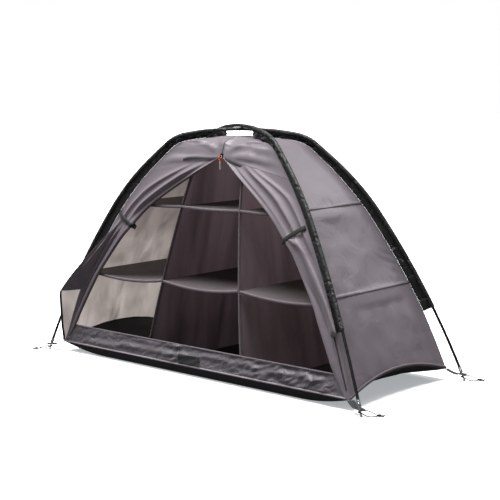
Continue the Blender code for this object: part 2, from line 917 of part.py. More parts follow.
def door_layout(side):
    # Rows of (x, z, how far the cloth stands forward), from the header to the hem
    tie_seam_z, _, tie_free_z = DOOR_EDGES[TIE_ROW - 1]
    tie_z = (tie_seam_z + tie_free_z) / 2
    layout = []
    for seam_z, free_x, free_z in door_edge_rows():
        seam_x = wall_edge(HALF_Y, seam_s_at(seam_z), 0.0)
        line = []
        for k in spread(0.0, 1.0, DOOR_COLUMNS):
            lead = ZIP_X * ramp(free_z, tie_z, ZIP_TOP_Z) * k
            x = side * (seam_x + (free_x - seam_x) * k) + lead
            z = seam_z + (free_z - seam_z) * k
            line.append(Vector((x, z, door_rise(side, z, tie_z, k))))
        layout.append(line)
    return layout


def rise_near(layout, spot, reach):
    # The most that the cloth stands forward within reach of a spot
    fine = (0.0, 0.25, 0.5, 0.75)
    highest = 0.0
    for line, below in zip(layout, layout[1:]):
        for corners in zip(line, line[1:], below, below[1:]):
            if min((c.xy - spot).length for c in corners) > 4 * reach:
                continue
            for a in fine:
                first = corners[0].lerp(corners[1], a)
                second = corners[2].lerp(corners[3], a)
                for b in fine:
                    p = first.lerp(second, b)
                    if (p.xy - spot).length < reach:
                        highest = max(highest, p.z)
    return highest


def build_door(name, side, looks):
    front = [[front_point(*p) for p in line] for line in door_layout(side)]
    back = thickened(front, DOOR_FABRIC, Vector((0, 1, -0.3)))
    for row, line in zip(front, back):
        s = seam_s_at(row[0].z)
        flat = wall_point(HALF_Y, s, DOOR_FABRIC)
        line[0] = Vector((side * wall_edge(HALF_Y, s, DOOR_FABRIC), -flat.x, flat.y))
    door = skin(name, front, back, looks["fabric"])
    shift_origin(door, door_axis(side)[0])


def door_axis(side):
    # The hinge line lies along the sewn edge, touching the seam's bow half way up
    low = seam(seam_s_at(HEM_Z))
    high = seam(seam_s_at(HEADER_SIDE_Z))
    chord = (high - low).normalized()
    middle_s = (seam_s_at(HEM_Z) + seam_s_at(HEADER_SIDE_Z)) / 2
    touch = seam(middle_s)
    out = Vector((side * HALF_X, -HALF_Y, 0.0)) / HALF_DIAGONAL
    point = out * touch.x + Vector((0, 0, touch.y))
    direction = (out * chord.x + Vector((0, 0, chord.y))).normalized()
    return point, direction


def build_sill(looks):
    # The low front wall between the feet of the doors
    rows = spread(HEM_Z, SILL_Z, SILL_ROWS)
    columns = spread(-1.0, 1.0, SILL_COLUMNS)
    seam_z, width, free_z = DOOR_EDGES[-1]
    edge_low = Vector((door_free_x(HEM_Z, DOOR_FOOT_WIDTH), HEM_Z))
    edge_high = Vector((door_free_x(seam_z, width), free_z))
    lean = (edge_high.x - edge_low.x) / (edge_high.y - edge_low.y)
    outer = []
    inner = []
    for z in rows:
        s = seam_s_at(z)
        half = edge_low.x + lean * (z - edge_low.y) - 3 * GAP
        out_flat = wall_point(HALF_Y, s, 0.0)
        in_flat = wall_point(HALF_Y, s, FABRIC)
        outer.append([Vector((u * half, -out_flat.x, out_flat.y)) for u in columns])
        inner.append([Vector((u * half, -in_flat.x, in_flat.y)) for u in columns])
    skin("front_sill", outer, inner, looks["fabric"])


def edge_steps(flat, whole, edge_count, middle_count):
    # Marks across a sheet, closer together beyond its flat middle
    side = spread(flat / whole, 1.0, edge_count)
    middle = spread(-flat / whole, flat / whole, middle_count)[1:-1]
    return [-v for v in reversed(side)] + middle + side


def build_floor(looks):
    # The ground sheet lies flat in the middle and rises to the hems
    hem_x = wall_reach(HALF_X, HEM_Z, FABRIC) - 2 * GAP
    side_x = wall_reach(HALF_X, HEM_Z + SIDE_HEM_RISE, FABRIC) - 2 * GAP
    hem_y = wall_reach(HALF_Y, HEM_Z, FABRIC) - 2 * GAP
    top = []
    low = []
    for v in edge_steps(FLOOR_FLAT_Y, hem_y, FLOOR_EDGE_ROWS, FLOOR_FLAT_CELLS):
        top_line = []
        low_line = []
        arch = 1 - v * v
        half_x = hem_x + (side_x - hem_x) * arch
        y = v * hem_y
        over_y = max(0.0, (abs(y) - FLOOR_FLAT_Y) / (hem_y - FLOOR_FLAT_Y))
        for u in edge_steps(FLOOR_FLAT_X, half_x, FLOOR_EDGE_COLUMNS, FLOOR_FLAT_CELLS):
            x = u * half_x
            over_x = max(0.0, (abs(x) - FLOOR_FLAT_X) / (half_x - FLOOR_FLAT_X))
            side_lift = HEM_Z + SIDE_HEM_RISE * arch - FABRIC
            lift = max(side_lift * over_x ** 2, (HEM_Z - FABRIC) * over_y ** 2)
            low_line.append(Vector((x, y, lift)))
            top_line.append(Vector((x, y, lift + FABRIC)))
        top.append(top_line)
        low.append(low_line)
    skin("floor_sheet", top, low, looks["fabric"])


# Inner dividers and shelves
def divider_x(z):
    return DIVIDER_FOOT_X - DIVIDER_LEAN * z


def build_divider(name, side, looks):
    levels = [FABRIC + GAP] + spread(DIVIDER_FIRST_Z, DIVIDER_TOP_Z, DIVIDER_ROWS)
    faces = []
    for offset in (-FABRIC / 2, FABRIC / 2):
        layer = []
        for z in levels:
            front_y = -wall_reach(HALF_Y, z, 0.0) + FRONT_SETBACK
            back_y = wall_reach(HALF_Y, z, FABRIC) - GAP
            if z < HEM_Z:
                front_y = -FLOOR_FLAT_Y
                back_y = FLOOR_FLAT_Y
            x = side * divider_x(z) + offset
            layer.append([Vector((x, front_y, z)), Vector((x, back_y, z))])
        faces.append(layer)
    skin(name, faces[0], faces[1], looks["inner"])


def build_shelf(name, bay, z, sag, looks):
    # One bay of a shelf: -1 left of the dividers, 0 between them, 1 right of them
    top = []
    low = []
    beside = FABRIC / 2 + GAP + DIVIDER_LEAN * (sag + SHELF_FABRIC)
    for v in spread(-1.0, 1.0, SHELF_ROWS):
        top_line = []
        low_line = []
        for u in spread(0.0, 1.0, SHELF_COLUMNS):
            drop = sag * (1 - (2 * u - 1) ** 2)
            height = z - drop
            depth_y = wall_reach(HALF_Y, z, FABRIC) - GAP
            front = wall_reach(HALF_Y, z, 0.0) - FRONT_SETBACK
            y = -front + (v + 1) / 2 * (depth_y + front)
            if bay == 0:
                x = (2 * u - 1) * (divider_x(z) - beside)
            else:
                start = divider_x(z - sag - SHELF_FABRIC) + beside
                end = wall_reach(HALF_X, z, FABRIC) - 2 * GAP
                x = bay * (start + u * (end - start))
            top_line.append(Vector((x, y, height)))
            low_line.append(Vector((x, y, height - SHELF_FABRIC)))
        top.append(top_line)
        low.append(low_line)
    skin(name, top, low, looks["inner"])


# Tie straps: one half in front of the gathered door and one half behind it
def tie_strip(side, behind):
    seam_z, width, free_z = DOOR_EDGES[TIE_ROW - 1]
    start = Vector((side * door_free_x(seam_z, TIE_SEAM_INSET), seam_z))
    end = Vector((side * door_free_x(seam_z, width), free_z))
    along = (end - start).normalized()
    broad = Vector((-along.y, along.x))
    if broad.y < 0:
        broad = -broad
    reach = (end - start).length
    layout = door_layout(side)
    strip = []
    for u in spread(0.0, 1.0, TIE_STEPS):
        travel = u * (reach + TIE_OVERHANG)
        past = ramp(travel, reach, reach + TIE_OVERHANG / 2)
        middle = start + along * travel
        if behind:
            forward = -(DOOR_FABRIC + 2 * GAP + TIE_THICKNESS) * (1 - past)
            forward -= (TIE_THICKNESS / 2 + GAP) * past
        else:
            forward = rise_near(layout, middle, TIE_WIDTH) + TIE_THICKNESS + GAP
            forward -= (TIE_THICKNESS / 2) * past
        edges = [middle + broad * w for w in (-TIE_WIDTH / 2, TIE_WIDTH / 2)]
        strip.append([front_point(p.x, p.y, forward) for p in edges])
    return strip


def build_ties(name, side, looks):
    for piece, behind in ((name, False), (f"{name}_rear", True)):
        strip = tie_strip(side, behind)
        under = thickened(strip, TIE_THICKNESS, Vector((0, 1, 0)))
        strap = skin(piece, strip, under, looks["webbing"])
        low, high = strip[0]
        shift_origin(strap, door_axis(side)[0] if behind else (low + high) / 2)


# Corner straps, eyelets and stake loops
def corner_axes(corner):
    # The corner's ground point, its outward direction, and the one across it
    arch, s, _ = corner
    foot = arch.centre(s)
    out = Vector((foot.x, foot.y, 0)).normalized()
    return foot, out, Vector((-out.y, out.x, 0))


def pin_point(corner, z):
    # The middle of the tip's pin at height z
    arch, s, turn = corner
    axis = arch.tangent(s + turn * PIN_LENGTH) * turn
    return arch.centre(s) + axis * (z / axis.z)


def build_strap(name, corner, looks):
    _, out, across = corner_axes(corner)
    pin_r = pin_point(corner, STRAP_Z).dot(out)
    start = seam(seam_s_at(HEM_Z)).x + 3 * GAP
    bend = pin_r - STRAP_LEVEL
    line = (
        (start, HEM_Z - STRAP_THICKNESS - GAP),
        ((start + bend) / 2, (HEM_Z + STRAP_Z) / 2 - STRAP_THICKNESS),
        (bend, STRAP_Z),
        (pin_r, STRAP_Z),
        (pin_r + STRAP_END, STRAP_Z),
    )
    top = []
    low = []
    for r, z in line:
        sides = [out * r + across * w for w in (-STRAP_WIDTH / 2, STRAP_WIDTH / 2)]
        top.append([p + Vector((0, 0, z + STRAP_THICKNESS)) for p in sides])
        low.append([p + Vector((0, 0, z)) for p in sides])
    strap = skin(name, top, low, looks["webbing"])
    hole_r = EYELET_BORE / 2 + EYELET_WALL + GAP
    profile = ((-STRAP_WIDTH, hole_r), (STRAP_WIDTH, hole_r))
    cutter = turned(
        f"{name}_hole", pin_point(corner, STRAP_Z), Vector((0, 0, 1)), profile, ROUND_SIDES,
        looks["webbing"], False,
    )
    add_boolean(strap, cutter, "DIFFERENCE")


def build_eyelet(name, corner, looks):
    bore_r = EYELET_BORE / 2
    barrel_r = bore_r + EYELET_WALL
    flange_z = STRAP_THICKNESS + GAP
    profile = (
        (0.0, bore_r),
        (0.0, barrel_r),
        (flange_z, barrel_r),
        (flange_z, EYELET_FLANGE / 2),
        (flange_z + EYELET_FLANGE_T, EYELET_FLANGE / 2),
        (flange_z + EYELET_FLANGE_T, bore_r),
    )
    place = pin_point(corner, STRAP_Z)
    turned(name, place, Vector((0, 0, 1)), profile, ROUND_SIDES, looks["tip"], True)


def build_stake_loop(name, corner, heading, looks):
    along = Vector(heading).normalized()
    across = Vector((-along.y, along.x, 0))
    start = pin_point(corner, LOOP_HOLD_Z)
    start.z = 0
    route = [start + along * u + across * v + Vector((0, 0, z)) for u, v, z in LOOP_ROUTE]
    curve = bpy.data.curves.new(name, "CURVE")
    curve.dimensions = "3D"
    spline = curve.splines.new("POLY")
    spline.points.add(len(route) - 1)
    for slot, place in zip(spline.points, route):
        slot.co = (place.x, place.y, place.z, 1.0)
    curve.bevel_depth = LOOP_CORD_D / 2
    curve.bevel_resolution = 2
    curve.use_fill_caps = True
    curve.materials.append(looks["cord"])
    thing = bpy.data.objects.new(name, curve)
    bpy.context.scene.collection.objects.link(thing)


# Zip slider and its pull
def slider_matrix():
    s = seam_s_at(ZIP_TOP_Z + SLIDER_HEIGHT / 2 + GAP)
    flat = wall_point(HALF_Y, s, 0.0)
    slope = wall_slope(HALF_Y, s)
    side = Vector((1, 0, 0))
    up = Vector((0, -slope.x, slope.y))
    rotation = Matrix((side, up.cross(side), up)).transposed().to_4x4()
    return Matrix.Translation((ZIP_X, -flat.x, flat.y)) @ rotation


def build_slider(looks):
    # Local frame: X right, -Y forward out of the face, Z up along the face
    points, faces = block(
        (-SLIDER_WIDTH / 2, -GAP - SLIDER_DEPTH, -SLIDER_HEIGHT / 2),
        (SLIDER_WIDTH / 2, -GAP, SLIDER_HEIGHT / 2),
    )
    body = add_mesh("zipper_slider", points, faces, looks["tip"])
    face_out(body)
    body.matrix_world = slider_matrix()
    bevel = body.modifiers.new("edges", "BEVEL")
    bevel.width = SLIDER_EDGE
    bevel.segments = 1
    front = -GAP - SLIDER_DEPTH
    bars = []
    for sign in (-1, 1):
        end_z = sign * BAIL_HEIGHT / 2
        bars.append(
            ((-BAIL_BAR / 2, front - BAIL_REACH, end_z - BAIL_BAR / 2),
             (BAIL_BAR / 2, front + BAIL_SINK, end_z + BAIL_BAR / 2))
        )
    bars.append(
        ((-BAIL_BAR / 2, front - BAIL_REACH, -BAIL_HEIGHT / 2 - BAIL_BAR / 2),
         (BAIL_BAR / 2, front - BAIL_REACH + BAIL_BAR, BAIL_HEIGHT / 2 + BAIL_BAR / 2))
    )
    for number, (low, high) in enumerate(bars):
        points, faces = block(low, high)
        bar = add_mesh(f"bail_{number}", points, faces, looks["tip"])
        face_out(bar)
        bar.matrix_world = slider_matrix()
        add_boolean(body, bar, "UNION")


def bail_point():
    # The middle of the bail's opening, where the pull hangs
    front = -GAP - SLIDER_DEPTH
    middle = front - (BAIL_REACH - BAIL_BAR) / 2
    low = -BAIL_HEIGHT / 2 + BAIL_BAR / 2 + PULL_CORD_D / 2 + 3 * GAP
    return slider_matrix() @ Vector((0, middle, low))


def pull_point(x, drop):
    # The pull lies down the slider's face and hangs straight below it
    matrix = slider_matrix()
    up = matrix.to_3x3() @ Vector((0, 0, 1))
    lying = SLIDER_HEIGHT / 2 + PULL_CORD_D
    return bail_point() + Vector((x, 0, -max(0.0, drop - lying))) - up * min(drop, lying)


def build_pull(looks):
    # A cord loop through the bail, with its two ends moulded into a grip
    half = GRIP_WIDTH / 2 - PULL_CORD_D / 2 - PULL_INSET
    route = (
        (-half * 0.7, PULL_LOOP + PULL_SINK),
        (-half * 0.7, PULL_LOOP),
        (-half, PULL_LOOP * 0.72),
        (-half * 1.15, PULL_LOOP * 0.40),
        (-half * 1.05, PULL_LOOP * 0.14),
        (-half * 0.75, PULL_LOOP * 0.03),
        (0.0, 0.0),
    )
    points = [Vector(p) for p in route]
    points += [Vector((-p.x, p.y)) for p in reversed(points[:-1])]
    line = [pull_point(p.x, p.y) for p in smooth_points(points, 2)]
    rings = []
    for i, place in enumerate(line):
        along = (line[min(i + 1, len(line) - 1)] - line[max(i - 1, 0)]).normalized()
        normal = along.cross(Vector((0, 1, 0))).normalized()
        rings += circle(place, normal, along.cross(normal), PULL_CORD_D / 2, CORD_SIDES)
    count = len(line)
    faces = ring_faces(0, CORD_SIDES, count, False)
    faces.append(tuple(reversed(range(CORD_SIDES))))
    faces.append(tuple(range((count - 1) * CORD_SIDES, count * CORD_SIDES)))
    pull = add_mesh("zipper_pull", rings, faces, looks["pull"])
    face_out(pull)
    top = pull_point(0.0, PULL_LOOP)
    corners, sides = block(
        (top.x - GRIP_WIDTH / 2, top.y - GRIP_DEPTH / 2, top.z - GRIP_LENGTH),
        (top.x + GRIP_WIDTH / 2, top.y + GRIP_DEPTH / 2, top.z),
    )
    grip = add_mesh("pull_grip", corners, sides, looks["grip"])
    face_out(grip)
    bevel = grip.modifiers.new("edges", "BEVEL")
    bevel.width = GRIP_EDGE
    bevel.segments = 2
    add_boolean(pull, grip, "UNION")
    shift_origin(pull, bail_point())


def all_materials():
    return {
        "fabric": make_material("fabric_grey", (132, 124, 131), 0.75),
        "inner": make_material("inner_grey", (104, 97, 101), 0.8),
        "sleeve": make_material("sleeve_black", (38, 37, 40), 0.6),
        "webbing": make_material("webbing_black", (34, 33, 36), 0.85),
        "pole": make_material("pole_black", (26, 26, 28), 0.35),
        "ferrule": make_material("ferrule_steel", (120, 122, 124), 0.3, 1.0),
        "tip": make_material("tip_silver", (196, 198, 200), 0.25, 1.0),
        "cord": make_material("cord_black", (28, 28, 30), 0.8),
        "pull": make_material("pull_orange", (226, 96, 40), 0.6),
        "grip": make_material("grip_grey", (120, 118, 116), 0.5),
    }


def build_all():
    clear_scene()
    looks = all_materials()
    corners = {
        "front_left": (ARCH_A, 0.0, 1),
        "back_right": (ARCH_A, ARCH_A.length, -1),
        "front_right": (ARCH_B, 0.0, 1),
        "back_left": (ARCH_B, ARCH_B.length, -1),
    }
    build_poles(ARCH_A, "a", looks)
    build_poles(ARCH_B, "b", looks)
    build_sleeve("sleeve_a", ARCH_A, looks)
    build_sleeve("sleeve_b", ARCH_B, looks)
    for place, corner in corners.items():
        build_tip(f"pole_tip_{place}", corner, looks)
        build_strap(f"corner_strap_{place}", corner, looks)
        build_eyelet(f"eyelet_{place}", corner, looks)
        build_stake_loop(f"stake_loop_{place}", corner, LOOP_HEADINGS[place], looks)
    build_walls(looks)
    build_sill(looks)
    build_floor(looks)
    bays = (("left", -1), ("centre", 0), ("right", 1))
    for bay_name, bay in bays:
        build_shelf(f"upper_shelf_{bay_name}", bay, UPPER_SHELF_Z, UPPER_SAG, looks)
        build_shelf(f"middle_shelf_{bay_name}", bay, MIDDLE_SHELF_Z, MIDDLE_SAG, looks)
    for side_name, side in (("left", -1), ("right", 1)):
        build_door(f"{side_name}_door", side, looks)
        build_ties(f"{side_name}_tie", side, looks)
        build_divider(f"{side_name}_divider", side, looks)
    build_slider(looks)
    build_pull(looks)


build_all()
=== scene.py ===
# Folding camping cupboard: the cloth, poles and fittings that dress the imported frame.
# Metres, +Z up. +X runs along the front to the right, and the doorway faces -Y.
import math

import bpy
import numpy as np
from mathutils import Matrix, Vector, noise


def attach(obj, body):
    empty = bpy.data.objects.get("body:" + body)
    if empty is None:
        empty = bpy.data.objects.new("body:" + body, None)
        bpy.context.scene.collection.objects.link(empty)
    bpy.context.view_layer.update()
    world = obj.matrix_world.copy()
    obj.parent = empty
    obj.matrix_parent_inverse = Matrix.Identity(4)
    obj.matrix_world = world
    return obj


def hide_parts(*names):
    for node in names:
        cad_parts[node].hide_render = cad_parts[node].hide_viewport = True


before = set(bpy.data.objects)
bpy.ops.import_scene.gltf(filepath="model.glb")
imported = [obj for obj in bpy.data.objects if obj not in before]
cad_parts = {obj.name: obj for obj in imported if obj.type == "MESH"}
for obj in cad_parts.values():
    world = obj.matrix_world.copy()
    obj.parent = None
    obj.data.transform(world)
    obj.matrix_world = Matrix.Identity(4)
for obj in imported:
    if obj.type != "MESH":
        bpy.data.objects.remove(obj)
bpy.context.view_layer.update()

# Footprint and arches, as in the part's source
FOOT_SPAN_X = 1.315
FOOT_SPAN_Y = 0.506
KNEE_INSET = 0.3275
KNEE_Z = 0.586
LEG_BOW = 0.0224
SHOULDER_R = 0.223
SHOULDER_Z = 0.717
ROOF_RISE = 0.0245
KNEE_EASE = 0.100
SHOULDER_EASE = 0.035
POLE_R = 0.00425
PIN_LENGTH = 0.026
PIN_R = 0.0025
TIP_CAP = 0.018
TIP_WALL = 0.0008
TIP_GROOVES = (0.0105, 0.0135)
POLE_START = 0.0293
CROSSING_RISE = 0.0112

# Sleeves, webs and the body seam, which lies inside the arch by SEAM_INSETS from foot to top,
# and the gaps between neighbours, as in the part's source
SLEEVE_WALL = 0.0008
SLEEVE_R = 0.00645
SLEEVE_TIGHT_R = 0.00545
SLEEVE_START = 0.2366
WEB_THICKNESS = 0.0012
HANDLE_HALF = 0.083
HANDLE_TAPER = 0.010
SEAM_INSETS = (0.041, 0.031, 0.027, 0.020, 0.022)
GAP = 0.0003
SEAM_GAP = 0.0002

# Fabric body and doorway: its cloth's thickness, its edges, and the top of the zip
FABRIC = 0.0009
HEM_Z = 0.032
SIDE_HEM_RISE = 0.040
APEX_CUT = 0.010
FLOOR_FLAT_X = 0.40
FLOOR_FLAT_Y = 0.208
ZIP_X = 0.010
ZIP_TOP_Z = 0.657
ZIP_TONGUE = 0.010
HEADER_SIDE_Z = 0.605
SILL_Z = 0.095
FLAP_END_Z = 0.212
# Zip tapes under the header: distance right, height, and how far they stand proud
ZIP_TAPE_LEFT = (
    (-0.150, 0.6490, 0.0030), (-0.125, 0.6535, 0.0052), (-0.090, 0.6550, 0.0058),
    (-0.045, 0.6545, 0.0052), (-0.004, 0.6560, 0.0036),
)
ZIP_TAPE_RIGHT = (
    (0.024, 0.6560, 0.0036), (0.050, 0.6500, 0.0052), (0.078, 0.6430, 0.0052), (0.100, 0.6360, 0.0030),
)
# Door rows from the header down: the seam's height, the flap's width, the free edge's height
DOOR_EDGES = (
    (0.565, 0.2170, 0.595),
    (0.525, 0.1590, 0.538),
    (0.500, 0.1145, 0.492),
    (0.476, 0.0720, 0.435),
    (0.420, 0.0680, 0.398),
    (0.340, 0.0670, 0.338),
    (0.270, 0.0550, 0.268),
    (0.210, 0.0500, 0.206),
    (0.140, 0.0425, 0.138),
    (0.105, 0.0380, 0.103),
)
DOOR_FOOT_WIDTH = 0.015
TIE_ROW = 4
TIE_FOLD = 0.012
LEFT_BULGE = 0.072

# The doors' cloth: its thickness, its points across, and the roll along its free edge, with
# the points round it and the last few, tucked under
DOOR_CLOTH = 0.0008
DOOR_COLUMNS = 96
DOOR_ROLL_R = 0.0062
DOOR_ROLL_COLUMNS = 16
DOOR_TUCK_COLUMNS = 5
# The tapes on the doors: the column that each follows, its top and its foot, how far it stands
# off, the way that it faces, its width and its thickness
ZIP_TAPES = {
    -1: (25, FLAP_END_Z + 0.006, HEM_Z + 0.002, (0.0004, -0.0012, 0), (0.7, -1, 0), 0.0075, 0.0022),
    1: (24, FLAP_END_Z - 0.020, HEM_Z + 0.022, (0, -0.0010, 0), (0.3, -1, 0), 0.0050, 0.0018),
}
EDGE_TAPE = (DOOR_COLUMNS + 9, 0.62, 0.05, (0, 0, 0), (0, -1, 0), 0.0035, 0.0014)
# The left wing shows its pale inner face below its end, between these shares of its width
WING_PALE = (0.25, 0.45)

# The ties: their width and thickness, how far the rear half lies back, how far the front half
# stands over the gathered cloth, and how far both run on past the free edge
TIE_WIDTH = 0.0142
TIE_THICKNESS = 0.0015
TIE_BACK = 0.0026
TIE_OVER = 0.0138
TIE_PAST = 0.013

# Dividers and shelves
DIVIDER_FOOT_X = 0.2084
DIVIDER_LEAN = 0.170
DIVIDER_TOP_Z = 0.680
UPPER_SHELF_Z = 0.507
MIDDLE_SHELF_Z = 0.277
UPPER_SAG = 0.003
MIDDLE_SAG = 0.013
SHELF_CLOTH = 0.0010
FRONT_SETBACK = 0.004

# Seams across the side and back panels, the step between their rows of points, half a seam's
# width, and the height over which the rows turn level
PANEL_SEAMS_Z = (0.522, 0.289)
ROW_STEP = 0.009
SEAM_HALF = 0.0045
HEM_SETTLE = 0.13
# The trims on a seam: width and thickness of its fell and of the dark strip of painted shadow
# under its fold, how far down that strip is, and where the rows of thread run
FELL_SIZE = (0.0066, 0.0011)
SEAM_SHADOW_SIZE = (0.0013, 0.0010)
SEAM_SHADOW_DROP = 0.0042
THREAD_ROWS = (-0.0022, 0.0024)

# The plain patch on the sill: its middle, half its width, its rows of the sill's grid, and its
# thickness
PATCH_X = -0.007
PATCH_HALF = 0.048
PATCH_ROWS = slice(2, 17)
PATCH_CLOTH = 0.0010

# Corner straps, eyelets and stake loops. A strap lies level from STRAP_LEVEL before its pin to
# STRAP_END past it, and its part with the hole starts STRAP_BEHIND before the pin.
STRAP_WIDTH = 0.022
STRAP_THICKNESS = 0.0014
STRAP_Z = 0.0190
STRAP_LEVEL = 0.020
STRAP_END = 0.014
STRAP_BEHIND = 0.008
# The box of stitches on each strap, as distances along it and across it
STRAP_STITCHING = (
    (-0.005, -0.008), (0.005, -0.008), (0.005, 0.008), (-0.005, 0.008), (-0.005, -0.008), (0.005, 0.008),
)
EYELET_BORE = 0.0092
EYELET_FLANGE = 0.0180
LOOP_CORD_D = 0.0030
LOOP_HOLD_Z = 0.0120
LOOP_HEADINGS = {
    "front_left": (-0.80, -0.60, 0.0),
    "front_right": (0.80, 0.60, 0.0),
    "back_left": (-0.80, 0.60, 0.0),
    "back_right": (0.80, 0.60, 0.0),
}
# The cord of a stake loop, along its heading: distance out from the pin, across, and height
LOOP_ROUTE = (
    (0.0660, 0.0075, 0.0019),
    (0.0590, 0.0042, 0.0020),
    (0.0520, 0.0022, 0.0026),
    (0.0460, 0.0022, 0.0030),
    (0.0390, 0.0062, 0.0050),
    (0.0290, 0.0095, 0.0095),
    (0.0180, 0.0090, 0.0132),
    (0.0080, 0.0062, 0.0140),
    (0.0010, 0.0051, 0.0130),
    (-0.0038, 0.0037, 0.0124),
    (-0.0056, 0.0000, 0.0120),
    (-0.0038, -0.0037, 0.0116),
    (0.0010, -0.0051, 0.0108),
    (0.0080, -0.0068, 0.0080),
    (0.0180, -0.0098, 0.0034),
    (0.0290, -0.0092, 0.0019),
    (0.0390, -0.0058, 0.0019),
    (0.0460, -0.0022, 0.0024),
    (0.0520, -0.0022, 0.0026),
    (0.0570, -0.0040, 0.0020),
    (0.0620, -0.0080, 0.0019),
)

# The knot that holds each stake loop: a little over two turns round its two runs
KNOT_TURNS = 2.4
KNOT_AWAY = 0.0455
KNOT_STEP = 0.0032
KNOT_Z = 0.0036
KNOT_HALF_WIDTH = 0.0042
KNOT_HALF_HEIGHT = 0.0022
KNOT_CORD_R = 0.0014

# Zip slider and pull
SLIDER_HEIGHT = 0.012
SLIDER_DEPTH = 0.0045
BAIL_BAR = 0.0012
BAIL_REACH = 0.0042
BAIL_HEIGHT = 0.0080
PULL_CORD_D = 0.0022
PULL_LOOP = 0.020
PULL_INSET = 0.0006
GRIP_WIDTH = 0.0075
GRIP_DEPTH = 0.0045
GRIP_LENGTH = 0.024
# Half of the pull's cord, from the grip up to the bail: half widths across, and how far down,
# as a share of the loop
PULL_ROUTE = ((0.7, 1.2), (0.8, 1.0), (1.7, 0.74), (2.3, 0.46), (2.0, 0.20), (1.1, 0.05), (0.0, 0.0))

# Camera, found from the pole feet and the arches in the photo
PICTURE = 500
FOCAL_PIXELS = 1177.8
CAMERA_TURN = 42.37
CAMERA_RISE = 7.68
CAMERA_ROLL = -0.76
CAMERA_AWAY = 3.657
CAMERA_TARGET = (0.0396, -0.0036, 0.3677)

# Studio: a wide soft light overhead, dim surroundings, and two softboxes, each with its place,
# the point that it faces, its size and its power
OVERHEAD_LIGHT = 7.8
OVERHEAD_SPREAD = 46.0
OVERHEAD_AIM = (0.13, 0.15, -1.0)
SKY_LIGHT = (0.02, 0.20)
FLOOR_SHADE = 0.40
FLOOR_GLOW = (0.93, 0.97, 1.0, 1.0)
FLOOR_TONES = (0.92, 0.95)
FLOOR_BOUNCE = 0.09
FLOOR_REACH = 30.0
FLOOR_LEVEL = -0.0006
SOFTBOXES = (
    ("front_left", (-2.0, -2.6, 1.5), (0, 0, 0.35), (0.5, 1.4), 13),
    ("back_high", (1.3, 3.0, 2.8), (0, 0, 0.50), (1.6, 1.0), 32),
)

TURN = 2 * math.pi
HALF_X = FOOT_SPAN_X / 2
HALF_Y = FOOT_SPAN_Y / 2
HALF_DIAGONAL = math.hypot(HALF_X, HALF_Y)
UP = np.array([0.0, 0.0, 1.0])
FORWARD = np.array([0.0, -1.0, 0.0])


# Small helpers
def unit(v):
    v = np.asarray(v, float)
    return v / (np.linalg.norm(v, axis=-1, keepdims=True) + 1e-12)


def ramp(value, start, end):
    share = np.clip((np.asarray(value, float) - start) / (end - start), 0.0, 1.0)
    return share * share * (3 - 2 * share)


def bell(value, middle, spread):
    return np.exp(-(((np.asarray(value, float) - middle) / spread) ** 2))


def soft_noise(a, b, size, seed):
    # Smooth noise from -1 to 1 over two arrays of metres, its lumps about size across
    a, b = np.broadcast_arrays(a, b)
    spots = zip((a / size).ravel(), (b / size).ravel())
    values = [noise.noise(Vector((x, y, seed * 7.31))) for x, y in spots]
    return np.array(values).reshape(a.shape) * 1.6


def smooth_line(points, steps):
    # A smooth curve through the points, with steps pieces between neighbours
    points = np.asarray(points, float)
    ends = np.vstack([2 * points[0] - points[1], points, 2 * points[-1] - points[-2]])
    curve = []
    for p0, p1, p2, p3 in zip(ends, ends[1:], ends[2:], ends[3:]):
        for t in np.arange(steps) / steps:
            curve.append(
                (2 * p1 + (p2 - p0) * t + (2 * p0 - 5 * p1 + 4 * p2 - p3) * t * t
                 + (3 * p1 - p0 - 3 * p2 + p3) * t ** 3) / 2
            )
    return np.array(curve + [points[-1]])


def run_of(points):
    # Length travelled at each point of a line
    steps = np.linalg.norm(np.diff(points, axis=0), axis=1)
    return np.concatenate([[0.0], np.cumsum(steps)])


def evenly(points, step):
    # The line again, with its points about step apart
    run = run_of(points)
    count = max(2, int(round(run[-1] / step)) + 1)
    marks = np.linspace(0, run[-1], count)
    return np.stack([np.interp(marks, run, points[:, i]) for i in range(points.shape[1])], 1)


def marks_between(start, end, step, seams=()):
    # Marks about step apart, with finer ones across each seam's ridge
    marks = list(np.linspace(start, end, max(2, int((end - start) / step) + 1)))
    fine = (-1.6, -1.1, -0.9, 0.0, 0.9, 1.1, 1.6)
    for seam in seams:
        marks = [m for m in marks if abs(m - seam) > 2.0 * SEAM_HALF]
        marks += [seam + f * SEAM_HALF for f in fine]
    return np.array(sorted(m for m in marks if start - 1e-9 <= m <= end + 1e-9))


# Arches, as smooth lines of (distance from the middle, height)
def bowed(start, end, bow, count):
    # A round bow from start to end, which stands out from the straight line by bow
    start, end = np.array(start, float), np.array(end, float)
    length = np.linalg.norm(end - start)
    radius = length * length / (8 * bow) + bow / 2
    half_angle = math.asin(length / 2 / radius)
    along = (end - start) / length
    out = np.array([along[1], -along[0]])
    if out.sum() < 0:
        out = -out
    centre = (start + end) / 2 + out * (bow - radius)
    turn = half_angle * np.linspace(-1, 1, count + 1)[:, None]
    return centre + radius * (np.cos(turn) * out + np.sin(turn) * along)


def eased_corner(points, corner_s, ease):
    # The line again, with its corner at station corner_s rounded off over ease on each side
    run = run_of(points)
    ends = [[np.interp(s, run, points[:, i]) for i in (0, 1)]
            for s in (corner_s - ease, corner_s, corner_s + ease)]
    first, corner, last = (np.array(p) for p in ends)
    t = np.linspace(0, 1, 17)[:, None]
    curve = first * (1 - t) ** 2 + corner * 2 * t * (1 - t) + last * t * t
    before = points[run < corner_s - ease - 0.0005]
    after = points[run > corner_s + ease + 0.0005]
    return np.vstack([before, curve, after])


